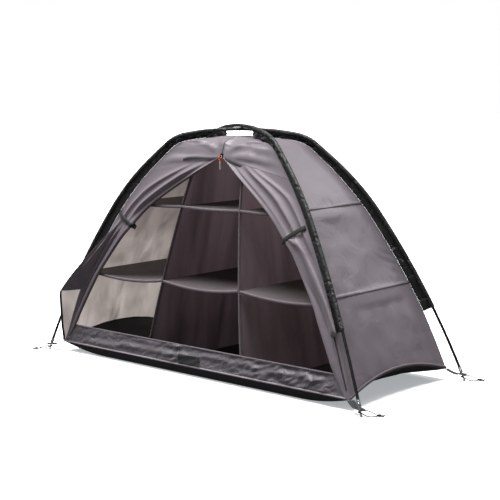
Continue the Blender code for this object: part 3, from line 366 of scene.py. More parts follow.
class Arch:
    # One pole arch from its front foot over the top to its back foot
    def __init__(self, side, rise):
        self.out = np.array([side * HALF_X, -HALF_Y, 0.0]) / HALF_DIAGONAL
        self.across = unit(np.cross(UP, self.out))
        knee = (HALF_DIAGONAL - KNEE_INSET, KNEE_Z)
        shoulder = (SHOULDER_R, SHOULDER_Z)
        leg = bowed((HALF_DIAGONAL, 0.0), knee, LEG_BOW, 100)
        rafter = np.linspace(knee, shoulder, 31)[1:]
        roof = bowed(shoulder, (-SHOULDER_R, SHOULDER_Z), rise, 80)[1:41]
        half = np.vstack([leg, rafter, roof])
        run = run_of(half)
        self.knee_s, self.shoulder_s = run[100], run[130]
        half = eased_corner(half, self.knee_s, KNEE_EASE)
        half = eased_corner(half, self.shoulder_s, SHOULDER_EASE)
        self.line = np.vstack([half, half[-2::-1] * (-1, 1)])
        self.run = run_of(self.line)
        self.length = self.run[-1]
        self.apex_s = self.length / 2

    def flat(self, s):
        return np.stack([np.interp(s, self.run, self.line[:, i]) for i in (0, 1)], -1)

    def centre(self, s):
        flat = self.flat(s)
        return flat[..., :1] * self.out + flat[..., 1:] * UP

    def tangent(self, s):
        return unit(self.centre(np.asarray(s) + 0.004) - self.centre(np.asarray(s) - 0.004))

    def outward(self, s):
        outward = np.cross(self.tangent(s), self.across)
        return outward * np.sign(outward[..., 2:] + 1e-9)


ARCH_A = Arch(-1, ROOF_RISE)
ARCH_B = Arch(1, ROOF_RISE + CROSSING_RISE)
SEAM_STOPS = (0.0, SLEEVE_START, ARCH_A.knee_s, ARCH_A.shoulder_s, ARCH_A.apex_s)


def seam(s):
    # The body's seam beside station s of an arch: distance from the middle, and height
    s = np.asarray(s, float)
    along = unit(ARCH_A.flat(s + 0.004) - ARCH_A.flat(s - 0.004))
    inward = np.stack([-along[..., 1], along[..., 0]], -1)
    inward = inward * -np.sign(inward[..., 1:] + 1e-12)
    return ARCH_A.flat(s) + inward * np.interp(s, SEAM_STOPS, SEAM_INSETS)[..., None]


SEAM_MARKS = np.linspace(0.0, ARCH_A.apex_s, 900)
SEAM_LINE = seam(SEAM_MARKS)


def seam_s_at(z):
    return np.interp(z, SEAM_LINE[:, 1], SEAM_MARKS)


def seam_z_at(s):
    return np.interp(s, SEAM_MARKS, SEAM_LINE[:, 1])


PANEL_SEAMS = [float(seam_s_at(z)) for z in PANEL_SEAMS_Z]


def seam_on(arch, s):
    # The body seam beside station s of either arch, in the round
    s = np.asarray(s, float)
    near = np.where(s > arch.apex_s, arch.length - s, s)
    share = (near - arch.shoulder_s) / (arch.apex_s - arch.shoulder_s)
    roof = ARCH_A.shoulder_s + share * (ARCH_A.apex_s - ARCH_A.shoulder_s)
    flat = seam(np.where(near <= arch.shoulder_s, near, roof))
    side = np.where(s > arch.apex_s, -1.0, 1.0)
    return (flat[..., 0] * side)[..., None] * arch.out + flat[..., 1:] * UP


# The walls between the seams: half_span is HALF_Y for front and back, HALF_X for the sides, s is
# a station of the seam, and depth is how far inside the cloth's outer face
def wall_slope(half_span, s):
    s = np.asarray(s, float)
    rise = seam(s + 0.004) - seam(s - 0.004)
    return unit(rise * (half_span / HALF_DIAGONAL, 1.0))


def wall_point(half_span, s, depth=0.0):
    slope = wall_slope(half_span, s)
    inward = np.stack([slope[..., 1], -slope[..., 0]], -1)
    return seam(s) * (half_span / HALF_DIAGONAL, 1.0) - inward * depth


def wall_reach(half_span, z, depth=0.0):
    s = seam_s_at(z)
    return seam(s)[..., 0] * half_span / HALF_DIAGONAL - depth / wall_slope(half_span, s)[..., 1]


def wall_edge(half_span, s, depth=0.0):
    # Half the width of a wall at seam station s, up to its mitred edge
    other_half = HALF_X + HALF_Y - half_span
    gap = SEAM_GAP * HALF_DIAGONAL / half_span
    return wall_point(half_span, s, depth)[..., 0] / half_span * other_half - gap


# Meshes
# TUBE_HINT is a direction that no tube follows. A ribbon's chamfer is at most RIBBON_EDGE of its
# width, and half a stitch is STITCH_SHARE of the step from one to the next.
TUBE_HINT = np.array([0.31, 0.52, 0.79])
RIBBON_EDGE = 0.35
STITCH_SHARE = 0.36


def in_scene(name, data):
    # A new object that shows the data
    thing = bpy.data.objects.new(name, data)
    bpy.context.scene.collection.objects.link(thing)
    return thing


def add_mesh(name, points, faces, looks, sharp=40.0, indices=None, grain=None):
    # looks: the names of its finishes, with a space between them
    mesh = bpy.data.meshes.new(name)
    mesh.from_pydata(np.asarray(points, float).tolist(), [], faces)
    mesh.update()
    if indices is not None:
        mesh.polygons.foreach_set("material_index", indices)
    if grain is not None:
        layer = mesh.attributes.new("grain", "FLOAT_VECTOR", "POINT")
        layer.data.foreach_set("vector", np.asarray(grain, np.float32).ravel())
    mesh.shade_smooth()
    mesh.set_sharp_from_angle(angle=math.radians(sharp))
    for look in looks.split():
        mesh.materials.append(LOOKS[look])
    return in_scene(name, mesh)


def grid_normals(grid, towards):
    # The way that each point of a grid faces, on the side that towards points to
    down = np.gradient(grid, axis=0)
    over = np.gradient(grid, axis=1)
    normals = unit(np.cross(down, over))
    return normals if (normals * towards).sum() > 0 else -normals


def grain_of(grid):
    # Metres along and across the cloth, measured over its surface
    over = np.linalg.norm(np.diff(grid, axis=1), axis=2)
    down = np.linalg.norm(np.diff(grid, axis=0), axis=2)
    u = np.concatenate([np.zeros((grid.shape[0], 1)), np.cumsum(over, 1)], 1)
    v = np.concatenate([np.zeros((1, grid.shape[1])), np.cumsum(down, 0)], 0)
    return np.stack([u - u[:, -1:] / 2, v, 0 * u], -1)


def rim_of(rows, columns):
    # The points round the edge of a grid, in order
    rim = list(range(columns))
    rim += [i * columns + columns - 1 for i in range(1, rows)]
    rim += [(rows - 1) * columns + j for j in range(columns - 2, -1, -1)]
    rim += [i * columns for i in range(rows - 2, 0, -1)]
    return rim


def cloth(name, grid, thickness, looks, towards, marked=None):
    # A closed sheet whose outer face is the grid. looks: outer, inner, then rim and marked cells
    rows, columns = grid.shape[:2]
    size = rows * columns
    normals = grid_normals(grid, towards)
    points = np.concatenate([grid.reshape(-1, 3), (grid - normals * thickness).reshape(-1, 3)])
    a = (np.arange(rows - 1)[:, None] * columns + np.arange(columns - 1)).ravel()
    outer = np.stack([a, a + 1, a + columns + 1, a + columns], 1)
    rim = np.array(rim_of(rows, columns))
    after = np.roll(rim, -1)
    sides = np.stack([after, rim, rim + size, after + size], 1)
    faces = np.concatenate([outer, outer[:, ::-1] + size, sides])
    middle = len(outer) // 2
    p = points[outer[middle]]
    if np.dot(np.cross(p[1] - p[0], p[3] - p[0]), normals.reshape(-1, 3)[outer[middle][0]]) < 0:
        faces = faces[:, ::-1]
    rim_look = 2 if len(looks.split()) > 2 else 0
    kinds = [0] * len(outer) + [1] * len(outer) + [rim_look] * len(rim)
    if marked is not None:
        kinds[:len(outer)] = np.where(marked.ravel(), 3, 0).tolist()
    grain = grain_of(grid).reshape(-1, 3)
    return add_mesh(name, points, faces.tolist(), looks, 50, kinds, np.concatenate([grain, grain]))


def cut_of(grid):
    # The flat cut of a panel: its width, its height and its area
    over = np.linalg.norm(np.diff(grid, axis=1), axis=2).sum(1)
    down = np.linalg.norm(np.diff(grid, axis=0), axis=2).sum(0)
    a, b = grid[1:, 1:] - grid[:-1, :-1], grid[1:, :-1] - grid[:-1, 1:]
    area = np.linalg.norm(np.cross(a, b), axis=2).sum() / 2
    width, height = float(over.max()), float(down.max())
    return (round(width, 3), round(height, 3)), round(min(float(area), width * height), 4)


def declare_cloth(piece, grid, trims=()):
    # The flat area stays between three tenths of the flat cut's rectangle and all of it
    flat, area = cut_of(grid)
    area = min(max(area, 0.3 * flat[0] * flat[1]), flat[0] * flat[1])


def rings_mesh(name, rings, look, capped=True, sharp=40.0):
    # A lofted solid through closed rings of points, shape (rings, sides, 3)
    rings = np.asarray(rings, float)
    count, sides = rings.shape[:2]
    i = np.arange(count - 1)[:, None] * sides
    j = np.arange(sides)[None, :]
    k = (j + 1) % sides
    quads = np.stack([i + j, i + k, i + k + sides, i + j + sides], -1).reshape(-1, 4)
    faces = quads.tolist()
    if capped:
        faces.append(list(range(sides))[::-1])
        faces.append(list(range((count - 1) * sides, count * sides)))
    points = rings.reshape(-1, 3)
    a, b, c = (points[quads[:, n]] for n in (0, 1, 2))
    middle = np.repeat(rings.mean(1), sides, 0)[: len(quads)]
    if (np.cross(b - a, c - a) * ((a + c) / 2 - middle)).sum() < 0:
        faces = [f[::-1] for f in faces]
    around = np.linalg.norm(rings - np.roll(rings, 1, 1), axis=2)
    along = run_of(rings.mean(1))[:, None] + np.zeros((1, sides))
    grain = np.stack([np.cumsum(around, 1), along, 0 * along], -1)
    return add_mesh(name, points, faces, look, sharp, grain=grain)


def tube(name, line, radius, look, sides):
    # A round rod along a line
    line = np.asarray(line, float)
    along = unit(np.gradient(line, axis=0))
    side = unit(np.cross(TUBE_HINT, along))
    face = unit(np.cross(along, side))
    turn = TURN * np.arange(sides) / sides
    circle = np.cos(turn)[None, :, None] * side[:, None] + np.sin(turn)[None, :, None] * face[:, None]
    return rings_mesh(name, line[:, None] + circle * radius, look, sharp=60.0)


def ribbon(name, line, side, face, width, thickness, look):
    # A flat strip along a line, its width along side and its thickness along face
    half, thick = width / 2, thickness / 2
    edge = min(thick * 0.98, width * RIBBON_EDGE)
    shape = np.array([
        (-half, -thick + edge), (-half + edge, -thick), (half - edge, -thick), (half, -thick + edge),
        (half, thick - edge), (half - edge, thick), (-half + edge, thick), (-half, thick - edge),
    ])
    rings = line[:, None] + shape[None, :, :1] * side[:, None] + shape[None, :, 1:] * face[:, None]
    return rings_mesh(name, rings, look, sharp=50)


def turned(name, origin, axis, profile, look, sides=40, closed=False):
    # A turned solid: profile is (height, radius) pairs along the axis
    axis = unit(axis)
    side = unit(np.cross(axis, (0.3, 0.5, 0.1)))
    across = np.cross(axis, side)
    turn = TURN * np.arange(sides) / sides
    spokes = np.cos(turn)[:, None] * side + np.sin(turn)[:, None] * across
    rings = np.array([origin + axis * h + spokes * r for h, r in profile])
    if closed:
        rings = np.concatenate([rings, rings[:1]])
    return rings_mesh(name, rings, look, capped=not closed, sharp=35)


def stitches(name, runs, face, look, pitch=0.0034, size=0.00032):
    # Rows of short raised threads along lines; face is the way that the cloth faces
    points, faces = [], []
    out = np.asarray(face, float) * size
    for line in runs:
        marks = evenly(line, pitch)
        for start, end in zip(marks, marks[1:]):
            middle, along = (start + end) / 2, (end - start) * STITCH_SHARE
            side = unit(np.cross(end - start, face)) * size
            base = len(points)
            points += [middle - along, middle + side, middle + out, middle - side]
            points += [middle - out * 0.6, middle + along]
            for a, b in ((1, 2), (2, 3), (3, 4), (4, 1)):
                faces += [(base, base + b, base + a), (base + 5, base + a, base + b)]
    return add_mesh(name, points, faces, look, 80)


def cord_along(name, line, diameter, look, rounds):
    # A round cord along an open line; rounds says how finely its roundness is cut
    curve = bpy.data.curves.new(name, "CURVE")
    curve.dimensions = "3D"
    spline = curve.splines.new("POLY")
    spline.points.add(len(line) - 1)
    spline.points.foreach_set("co", np.c_[line, np.ones(len(line))].ravel())
    curve.bevel_depth = diameter / 2
    curve.bevel_resolution = rounds
    curve.use_fill_caps = True
    curve.materials.append(LOOKS[look])
    return in_scene(name, curve)


def fit(piece, slot, *nodes, body="cupboard"):
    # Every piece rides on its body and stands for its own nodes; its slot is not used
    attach(piece, body)
    if nodes:
        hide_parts(*nodes)
    return piece


# Finishes
def tint(red, green, blue):
    def linear(channel):
        value = channel / 255
        return value / 12.92 if value <= 0.04045 else ((value + 0.055) / 1.055) ** 2.4

    return (linear(red), linear(green), linear(blue), 1.0)


def add_node(tree, kind, **settings):
    # Settings that name an input go to it, by value or by link; the others are properties
    node = tree.nodes.new("ShaderNode" + kind)
    for key, value in settings.items():
        if key.startswith("in_"):
            index = key[3:]
            socket = node.inputs[int(index) if index.isdigit() else index.replace("_", " ")]
            if isinstance(value, bpy.types.NodeSocket):
                tree.links.new(value, socket)
            else:
                socket.default_value = value
        else:
            setattr(node, key, value)
    return node


def maths(tree, operation, *values):
    inputs = {f"in_{number}": value for number, value in enumerate(values)}
    return add_node(tree, "Math", operation=operation, **inputs).outputs[0]


def mix_colours(tree, share, first, second):
    return add_node(tree, "Mix", data_type="RGBA", in_0=share, in_6=first, in_7=second).outputs[2]


def ranged(tree, value, low, high, at_low, at_high):
    # value, from low to high, becomes at_low to at_high
    scale = add_node(tree, "MapRange", in_Value=value, in_1=low, in_2=high, in_3=at_low, in_4=at_high)
    return scale.outputs[0]


def object_place(tree):
    return add_node(tree, "TexCoord").outputs["Object"]


def object_height(tree):
    return add_node(tree, "SeparateXYZ", in_0=object_place(tree)).outputs[2]


class Group:
    # A shader node group. An input's kind follows its starting value: one number, three for a
    # vector, four for a colour. The output called Colour is a colour, and the others are values.
    KINDS = {1: "NodeSocketFloat", 3: "NodeSocketVector", 4: "NodeSocketColor"}

    def __init__(self, name, inputs, outputs):
        self.tree = bpy.data.node_groups.new(name, "ShaderNodeTree")
        for label, value in inputs.items():
            kind = self.KINDS[np.size(value)]
            socket = self.tree.interface.new_socket(name=label, in_out="INPUT", socket_type=kind)
            socket.default_value = value
        for label in outputs:
            kind = self.KINDS[4 if label == "Colour" else 1]
            self.tree.interface.new_socket(name=label, in_out="OUTPUT", socket_type=kind)
        self.given = self.tree.nodes.new("NodeGroupInput").outputs
        self.end = self.tree.nodes.new("NodeGroupOutput")
        self.place = object_place(self.tree)

    def node(self, kind, **settings):
        return add_node(self.tree, kind, **settings)

    def maths(self, operation, *values):
        return maths(self.tree, operation, *values)

    def noise(self, place, **settings):
        return self.node("TexNoise", in_Vector=place, **settings).outputs["Fac"]

    def drawn_out(self, stretch):
        return self.node("VectorMath", operation="MULTIPLY", in_0=self.place, in_1=stretch).outputs[0]

    def grain_waves(self, first_pitch, second_pitch):
        # Two sets of even waves, across the cloth's own grain and along it
        grain = self.node("Attribute", attribute_name="grain").outputs["Vector"]
        parts = self.node("SeparateXYZ", in_0=grain)
        for axis, pitch in enumerate((first_pitch, second_pitch)):
            turns = self.maths("DIVIDE", TURN, pitch)
            yield self.maths("SINE", self.maths("MULTIPLY", parts.outputs[axis], turns))

    def gives(self, **results):
        for label, value in results.items():
            self.tree.links.new(value, self.end.inputs[label])
        return self.tree


def weave_group():
    # Plain weave over the cloth's own grain: thread colour, thread height and roughness
    g = Group(
        "woven_cloth",
        {"Warp": (0.2, 0.2, 0.2, 1), "Weft": (0.15, 0.15, 0.15, 1), "Pitch": 0.0009, "Mottle": 0.12,
         "Sheen Rough": 0.55},
        ("Colour", "Height", "Roughness"),
    )
    warp, weft = g.grain_waves(g.given["Pitch"], g.given["Pitch"])
    over = g.maths("MULTIPLY_ADD", g.maths("MULTIPLY", warp, weft), 0.5, 0.5)
    broad = g.noise(g.place, in_Scale=9.0, in_Detail=3.0, in_Roughness=0.55)
    slub = g.noise(g.place, in_Scale=260.0, in_Detail=2.0, in_Roughness=0.6)
    cloudy = g.maths("SUBTRACT", g.maths("ADD", g.maths("MULTIPLY", broad, 1.4), slub), 1.2)
    value = g.maths("MULTIPLY_ADD", cloudy, g.given["Mottle"], 1.0)
    threads = mix_colours(g.tree, over, g.given["Warp"], g.given["Weft"])
    return g.gives(
        Colour=g.node("HueSaturation", in_Value=value, in_Color=threads).outputs["Color"],
        Height=g.maths("ADD", over, g.maths("MULTIPLY", slub, 0.6)),
        Roughness=g.maths("MULTIPLY_ADD", broad, 0.16, g.given["Sheen Rough"]),
    )


def crumple_group():
    # Fine creases of handled cloth, as a height, and the soft folds alone
    g = Group("cloth_crumple", {"Size": 22.0, "Stretch": (1.0, 1.0, 1.0)}, ("Height", "Fold"))
    place = g.drawn_out(g.given["Stretch"])
    soft = g.noise(place, in_Detail=4.0, in_Roughness=0.5, in_Distortion=0.6, in_Scale=g.given["Size"])
    ridge = g.maths("ABSOLUTE", g.maths("SUBTRACT", soft, 0.5))
    crease = g.maths("SUBTRACT", 1.0, g.maths("MULTIPLY", ridge, 3.0))
    return g.gives(Height=g.maths("MULTIPLY_ADD", crease, 0.5, soft), Fold=soft)


def ribs_group():
    # Ribs across a tape or webbing, with the fuzz of its threads, and painted shade in the hollows between
    # the ribs
    g = Group(
        "woven_ribs", {"Colour": (0.1, 0.1, 0.1, 1), "Rib": 0.0016, "Edge": 0.0011}, ("Colour", "Height")
    )
    cords, ribs = g.grain_waves(g.given["Edge"], g.given["Rib"])
    fuzz = g.noise(g.place, in_Scale=700.0, in_Detail=2.0)
    height = g.maths("MULTIPLY_ADD", ribs, 0.35, g.maths("MULTIPLY", cords, 0.15))
    height = g.maths("ADD", height, fuzz)
    # Painted shade and highlight: the colour is darker where the height is low and lighter where it is high
    value = g.maths("MULTIPLY_ADD", height, 0.3, 0.85)
    tone = g.node("HueSaturation", in_Value=value, in_Color=g.given["Colour"])
    return g.gives(Colour=tone.outputs["Color"], Height=height)


def braid_group():
    # Crossing strands round a braided cord
    g = Group(
        "braided_strands",
        {"Colour": (0.1, 0.1, 0.1, 1), "Fleck": (0.2, 0.2, 0.2, 1), "Scale": 900.0},
        ("Colour", "Height"),
    )
    spun = g.node("Mapping", in_Vector=g.place, in_Rotation=(0.4, 1.9, 0.8)).outputs[0]
    left, right = (
        g.node("TexWave", in_Vector=place, bands_direction="DIAGONAL", in_Distortion=0.4,
               in_Scale=g.given["Scale"]).outputs["Fac"]
        for place in (g.place, spun)
    )
    strands = g.maths("MAXIMUM", left, right)
    spots = g.noise(g.place, in_Scale=420.0, in_Detail=1.0)
    fleck = g.maths("MULTIPLY", g.maths("GREATER_THAN", spots, 0.58), strands)
    return g.gives(Colour=mix_colours(g.tree, fleck, g.given["Colour"], g.given["Fleck"]), Height=strands)


def wear_group():
    # Fine scuffs and specks on a hard finish: its colour, a height and the roughness
    g = Group(
        "handled_finish",
        {"Colour": (0.1, 0.1, 0.1, 1), "Rubbed": (0.3, 0.3, 0.3, 1), "Amount": 0.5, "Rough": 0.3,
         "Draw": (60.0, 60.0, 6.0)},
        ("Colour", "Height", "Roughness"),
    )
    lines = g.noise(g.drawn_out(g.given["Draw"]), in_Scale=8.0, in_Detail=5.0, in_Roughness=0.7)
    specks = g.noise(g.place, in_Scale=180.0, in_Detail=3.0)
    rubbed = g.maths("GREATER_THAN", g.maths("MULTIPLY", lines, specks), 0.3)
    mask = g.maths("MULTIPLY", rubbed, g.given["Amount"])
    return g.gives(
        Colour=mix_colours(g.tree, mask, g.given["Colour"], g.given["Rubbed"]),
        Height=lines,
        Roughness=g.maths("MULTIPLY_ADD", lines, 0.25, g.given["Rough"]),
    )


WEAVE = weave_group()
CRUMPLE = crumple_group()
RIBS = ribs_group()
BRAID = braid_group()
WEAR = wear_group()

# The cloths' threads, the depth of a scuff, the share of daylight low down, and half the width
# of a crease's painted highlight
THREAD_PITCH = 0.0009
THREAD_HEIGHT = 0.00012
SCUFF_DEPTH = 0.00008
LOW_GLOW = 0.8
CREASE_HALF = 0.022


def blank_material(name, rough, metallic=0.0, sheen=0.0):
    # A material with its node tree and its shader, for the looks below to fill in
    material = bpy.data.materials.new(name)
    material.use_nodes = True
    shader = material.node_tree.nodes["Principled BSDF"]
    shader.inputs["Roughness"].default_value = rough
    shader.inputs["Metallic"].default_value = metallic
    shader.inputs["Sheen Weight"].default_value = sheen
    shader.inputs["Sheen Roughness"].default_value = 0.4
    return material, material.node_tree, shader


def place_group(tree, group, **values):
    # A group's own node in a material, with its inputs set
    inputs = {f"in_{key}": value for key, value in values.items()}
    return add_node(tree, "Group", node_tree=group, **inputs)


def bump_into(tree, shader, *heights):
    # Stacks heights, each with its depth in metres and its strength, into the shader's normal
    normal = None
    for height, depth, strength in heights:
        bump = add_node(tree, "Bump", in_Height=height, in_Distance=depth, in_Strength=strength)
        if normal is not None:
            tree.links.new(normal, bump.inputs["Normal"])
        normal = bump.outputs[0]
    tree.links.new(normal, shader.inputs["Normal"])


def cloth_look(name, warp, weft, rough=0.5, mottle=0.12, crumple=0.0012, size=16.0,
               sheen=0.15, shine=0.5, glow=0.0, upward=0.0, crease_highlight=None):
    # glow is the share of daylight that comes through the cloth, and upward is how much of it
    # shows high up, against LOW_GLOW near the ground
    material, tree, shader = blank_material(name, rough, sheen=sheen)
    shader.inputs["Specular IOR Level"].default_value = shine
    weave = place_group(tree, WEAVE, Warp=tint(*warp), Weft=tint(*weft), Pitch=THREAD_PITCH,
                        Mottle=mottle, Sheen_Rough=rough)
    folds = place_group(tree, CRUMPLE, Size=size, Stretch=(1, 1, 1))
    colour = weave.outputs["Colour"]
    # crease_highlight, if given, is the colour of a painted highlight on creases near the crown
    shown = crown_crease_highlights(tree, colour, crease_highlight) if crease_highlight else colour
    tree.links.new(shown, shader.inputs["Base Color"])
    tree.links.new(weave.outputs["Roughness"], shader.inputs["Roughness"])
    if glow:
        lit = add_node(tree, "VectorMath", operation="SCALE", in_0=colour, in_Scale=daylight(tree, upward))
        tree.links.new(lit.outputs[0], shader.inputs["Emission Color"])
        shader.inputs["Emission Strength"].default_value = glow
    threads = (weave.outputs["Height"], THREAD_HEIGHT, 0.5)
    bump_into(tree, shader, (folds.outputs["Height"], crumple, 1.0), threads)
    return material


def daylight(tree, upward):
    # Light through cloth that hangs in soft upright folds
    folds = place_group(tree, CRUMPLE, Size=13.0, Stretch=(1.0, 1.0, 0.025))
    light = maths(tree, "MULTIPLY_ADD", folds.outputs["Fold"], 2.4, -0.2)
    if not upward:
        return light
    return maths(tree, "MULTIPLY", light, ranged(tree, object_height(tree), 0.10, 0.60, LOW_GLOW, upward))


def crown_crease_highlights(tree, ground, rubbed):
    # Painted highlight: slanting creases painted pale where the cloth is drawn together near the crown
    gathers = place_group(tree, CRUMPLE, Size=24.0, Stretch=(1.0, 1.0, 0.22))
    away = maths(tree, "ABSOLUTE", maths(tree, "SUBTRACT", gathers.outputs["Fold"], 0.5))
    line = ranged(tree, away, 0.0, CREASE_HALF, 0.55, 0.0)
    near = ranged(tree, object_height(tree), 0.55, 0.70, 0.0, 1.0)
    return mix_colours(tree, maths(tree, "MULTIPLY", line, near), ground, tint(*rubbed))


def ribbed_look(name, colour, rib, edge, depth=0.0003):
    # rib and edge are the steps of the ribs along the tape and of the cords across it
    material, tree, shader = blank_material(name, 0.7, sheen=0.1)
    ribs = place_group(tree, RIBS, Colour=tint(*colour), Rib=rib, Edge=edge)
    tree.links.new(ribs.outputs["Colour"], shader.inputs["Base Color"])
    bump_into(tree, shader, (ribs.outputs["Height"], depth, 0.8))
    return material


def braided_look(name, colour, fleck, scale):
    material, tree, shader = blank_material(name, 0.6)
    braid = place_group(tree, BRAID, Colour=tint(*colour), Fleck=tint(*fleck), Scale=scale)
    tree.links.new(braid.outputs["Colour"], shader.inputs["Base Color"])
    bump_into(tree, shader, (braid.outputs["Height"], 0.0003, 0.8))
    return material


def hard_look(name, colour, rubbed, rough, metallic=0.0, amount=0.4, draw=(60, 60, 6)):
    # draw says how the scuffs are drawn out: the lower of its numbers is their long way
    material, tree, shader = blank_material(name, rough, metallic)
    wear = place_group(tree, WEAR, Colour=tint(*colour), Rubbed=tint(*rubbed), Amount=amount,
                       Rough=rough, Draw=draw)
    tree.links.new(wear.outputs["Colour"], shader.inputs["Base Color"])
    tree.links.new(wear.outputs["Roughness"], shader.inputs["Roughness"])
    bump_into(tree, shader, (wear.outputs["Height"], SCUFF_DEPTH, 0.5))
    return material


# Each cloth's two thread colours, each trim's colour, each hard finish and where it is rubbed
LOOKS = {
    "fabric": cloth_look("grey_shell_cloth", (119, 111, 118), (104, 96, 103), rough=0.34, mottle=0.10,
                         shine=0.6),
    # The shell cloth again, painted darker on the doors as painted shade, with a painted glow
    "door": cloth_look("grey_door_cloth", (108, 99, 106), (93, 85, 92), rough=0.50, mottle=0.10,
                       size=12.0, glow=0.10),
    "lining": cloth_look("pale_coated_lining", (204, 193, 188), (196, 185, 180), rough=0.55,
                         mottle=0.05, size=10, glow=0.78, upward=0.3),
    "flap_lining": cloth_look("pale_flap_lining", (196, 186, 182), (188, 178, 173), rough=0.5,
                              mottle=0.05, size=10, glow=0.55),
    # The same coated lining as the pale one, painted dark as shade for the insides that the light hardly
    # reaches; its glow is painted light
    "shade": cloth_look("dark_coated_lining", (72, 59, 59), (63, 51, 51), rough=0.6, mottle=0.08,
                        size=10, glow=0.38, upward=2.4),
    "inner": cloth_look("divider_cloth", (86, 73, 77), (75, 63, 67), rough=0.6, mottle=0.10,
                        size=10, glow=0.22, upward=3.0),
    "shelf": cloth_look("shelf_cloth", (72, 64, 66), (64, 57, 59), rough=0.6, mottle=0.10, size=14),
    # The sleeve's pale creases near the crown are a painted highlight
    "sleeve": cloth_look("black_sleeve_cloth", (34, 35, 35), (22, 23, 24), rough=0.48, mottle=0.35,
                         size=38, crumple=0.0090, sheen=0.0, shine=0.45, crease_highlight=(92, 95, 94)),
    "floor": cloth_look("dark_ground_sheet", (52, 50, 54), (44, 42, 46), rough=0.60, mottle=0.12,
                        size=13, crumple=0.002, shine=0.15),
    "sill": cloth_look("grey_sill_cloth", (92, 86, 92), (78, 73, 79), rough=0.40, mottle=0.14,
                       size=26, crumple=0.0055, glow=0.08),
    "patch": cloth_look("plain_sewn_patch", (36, 34, 36), (31, 29, 31), mottle=0.08, size=20),
    "binding": ribbed_look("grey_edge_binding", (106, 97, 103), rib=0.0012, edge=0.0011),
    "hem": ribbed_look("hem_piping", (138, 129, 136), rib=0.0014, edge=0.0012),
    "webbing": ribbed_look("black_webbing", (24, 23, 25), rib=0.0018, edge=0.0012, depth=0.0004),
    "tape": ribbed_look("zip_tape", (36, 33, 36), rib=0.0009, edge=0.0009, depth=0.0002),
    "thread": ribbed_look("sewing_thread", (122, 114, 120), rib=0.0006, edge=0.0006, depth=0.0001),
    "dark_thread": ribbed_look("dark_sewing_thread", (52, 49, 53), rib=0.0006, edge=0.0006, depth=0.0001),
    "cord": braided_look("black_stake_cord", (17, 17, 19), (52, 52, 54), scale=900.0),
    "shock": braided_look("elastic_core_cord", (34, 34, 36), (120, 120, 122), scale=900.0),
    "pull_cord": braided_look("orange_pull_cord", (250, 92, 24), (255, 220, 110), scale=700.0),
    "pole": hard_look("black_pole", (18, 18, 20), (50, 50, 52), rough=0.3, amount=0.3,
                      draw=(90, 90, 5)),
    "ferrule": hard_look("steel_ferrule", (150, 152, 154), (180, 182, 184), rough=0.28, metallic=1.0),
    "tip": hard_look("silver_tip", (205, 206, 208), (235, 235, 236), rough=0.2, metallic=1.0,
                     amount=0.5, draw=(40, 40, 40)),
    "eyelet": hard_look("dark_eyelet", (112, 112, 116), (190, 190, 192), rough=0.3, metallic=1.0,
                        amount=0.5, draw=(40, 40, 40)),
    "grip": hard_look("grey_pull_grip", (146, 147, 138), (182, 184, 174), rough=0.5, amount=0.5,
                      draw=(30, 30, 30)),
    "slider": hard_look("dark_slider", (40, 40, 42), (140, 140, 142), rough=0.32, metallic=1.0,
                        amount=0.5, draw=(50, 50, 50)),
}


# Camera, lights and floor
def add_camera():
    turn, rise, roll = (math.radians(v) for v in (CAMERA_TURN, CAMERA_RISE, CAMERA_ROLL))
    back = Vector((math.sin(turn) * math.cos(rise), -math.cos(turn) * math.cos(rise), math.sin(rise)))
    right = Vector((math.cos(turn), math.sin(turn), 0))
    up = back.cross(right)
    level = right * math.cos(roll) + up * math.sin(roll)
    upright = up * math.cos(roll) - right * math.sin(roll)
    data = bpy.data.cameras.new("photo_camera")
    data.sensor_width = 36
    data.lens = FOCAL_PIXELS * data.sensor_width / PICTURE
    data.clip_end = 60
    camera = in_scene("photo_camera", data)
    turned_to = Matrix((level, upright, back)).transposed().to_4x4()
    camera.matrix_world = Matrix.Translation(Vector(CAMERA_TARGET) + back * CAMERA_AWAY) @ turned_to
    bpy.context.scene.camera = camera


def add_softbox(name, place, aim, size, power):
    data = bpy.data.lights.new(name, "AREA")
    data.shape = "RECTANGLE"
    data.size, data.size_y = size
    data.energy = power
    lamp = in_scene(name, data)
    lamp.location = place
    lamp.rotation_euler = (Vector(aim) - Vector(place)).to_track_quat("-Z", "Y").to_euler()


def add_daylight():
    data = bpy.data.lights.new("overhead", "SUN")
    data.energy = OVERHEAD_LIGHT
    data.angle = math.radians(OVERHEAD_SPREAD)
    in_scene("overhead", data).rotation_euler = Vector(OVERHEAD_AIM).to_track_quat("-Z", "Y").to_euler()


def add_sky():
    # White to look at. As a light it is bright overhead and dim at the sides.
    world = bpy.data.worlds.new("studio")
    world.use_nodes = True
    tree = world.node_tree
    seen = add_node(tree, "LightPath").outputs["Is Camera Ray"]
    height = add_node(tree, "SeparateXYZ", in_0=add_node(tree, "TexCoord").outputs["Generated"]).outputs[2]
    backdrop = tree.nodes["Background"]
    level = maths(tree, "MAXIMUM", ranged(tree, height, -0.1, 1.0, *SKY_LIGHT), seen)
    tree.links.new(level, backdrop.inputs["Strength"])
    backdrop.inputs["Color"].default_value = (1.0, 1.0, 1.0, 1.0)
    bpy.context.scene.world = world
    bpy.context.scene.view_settings.view_transform = "Standard"


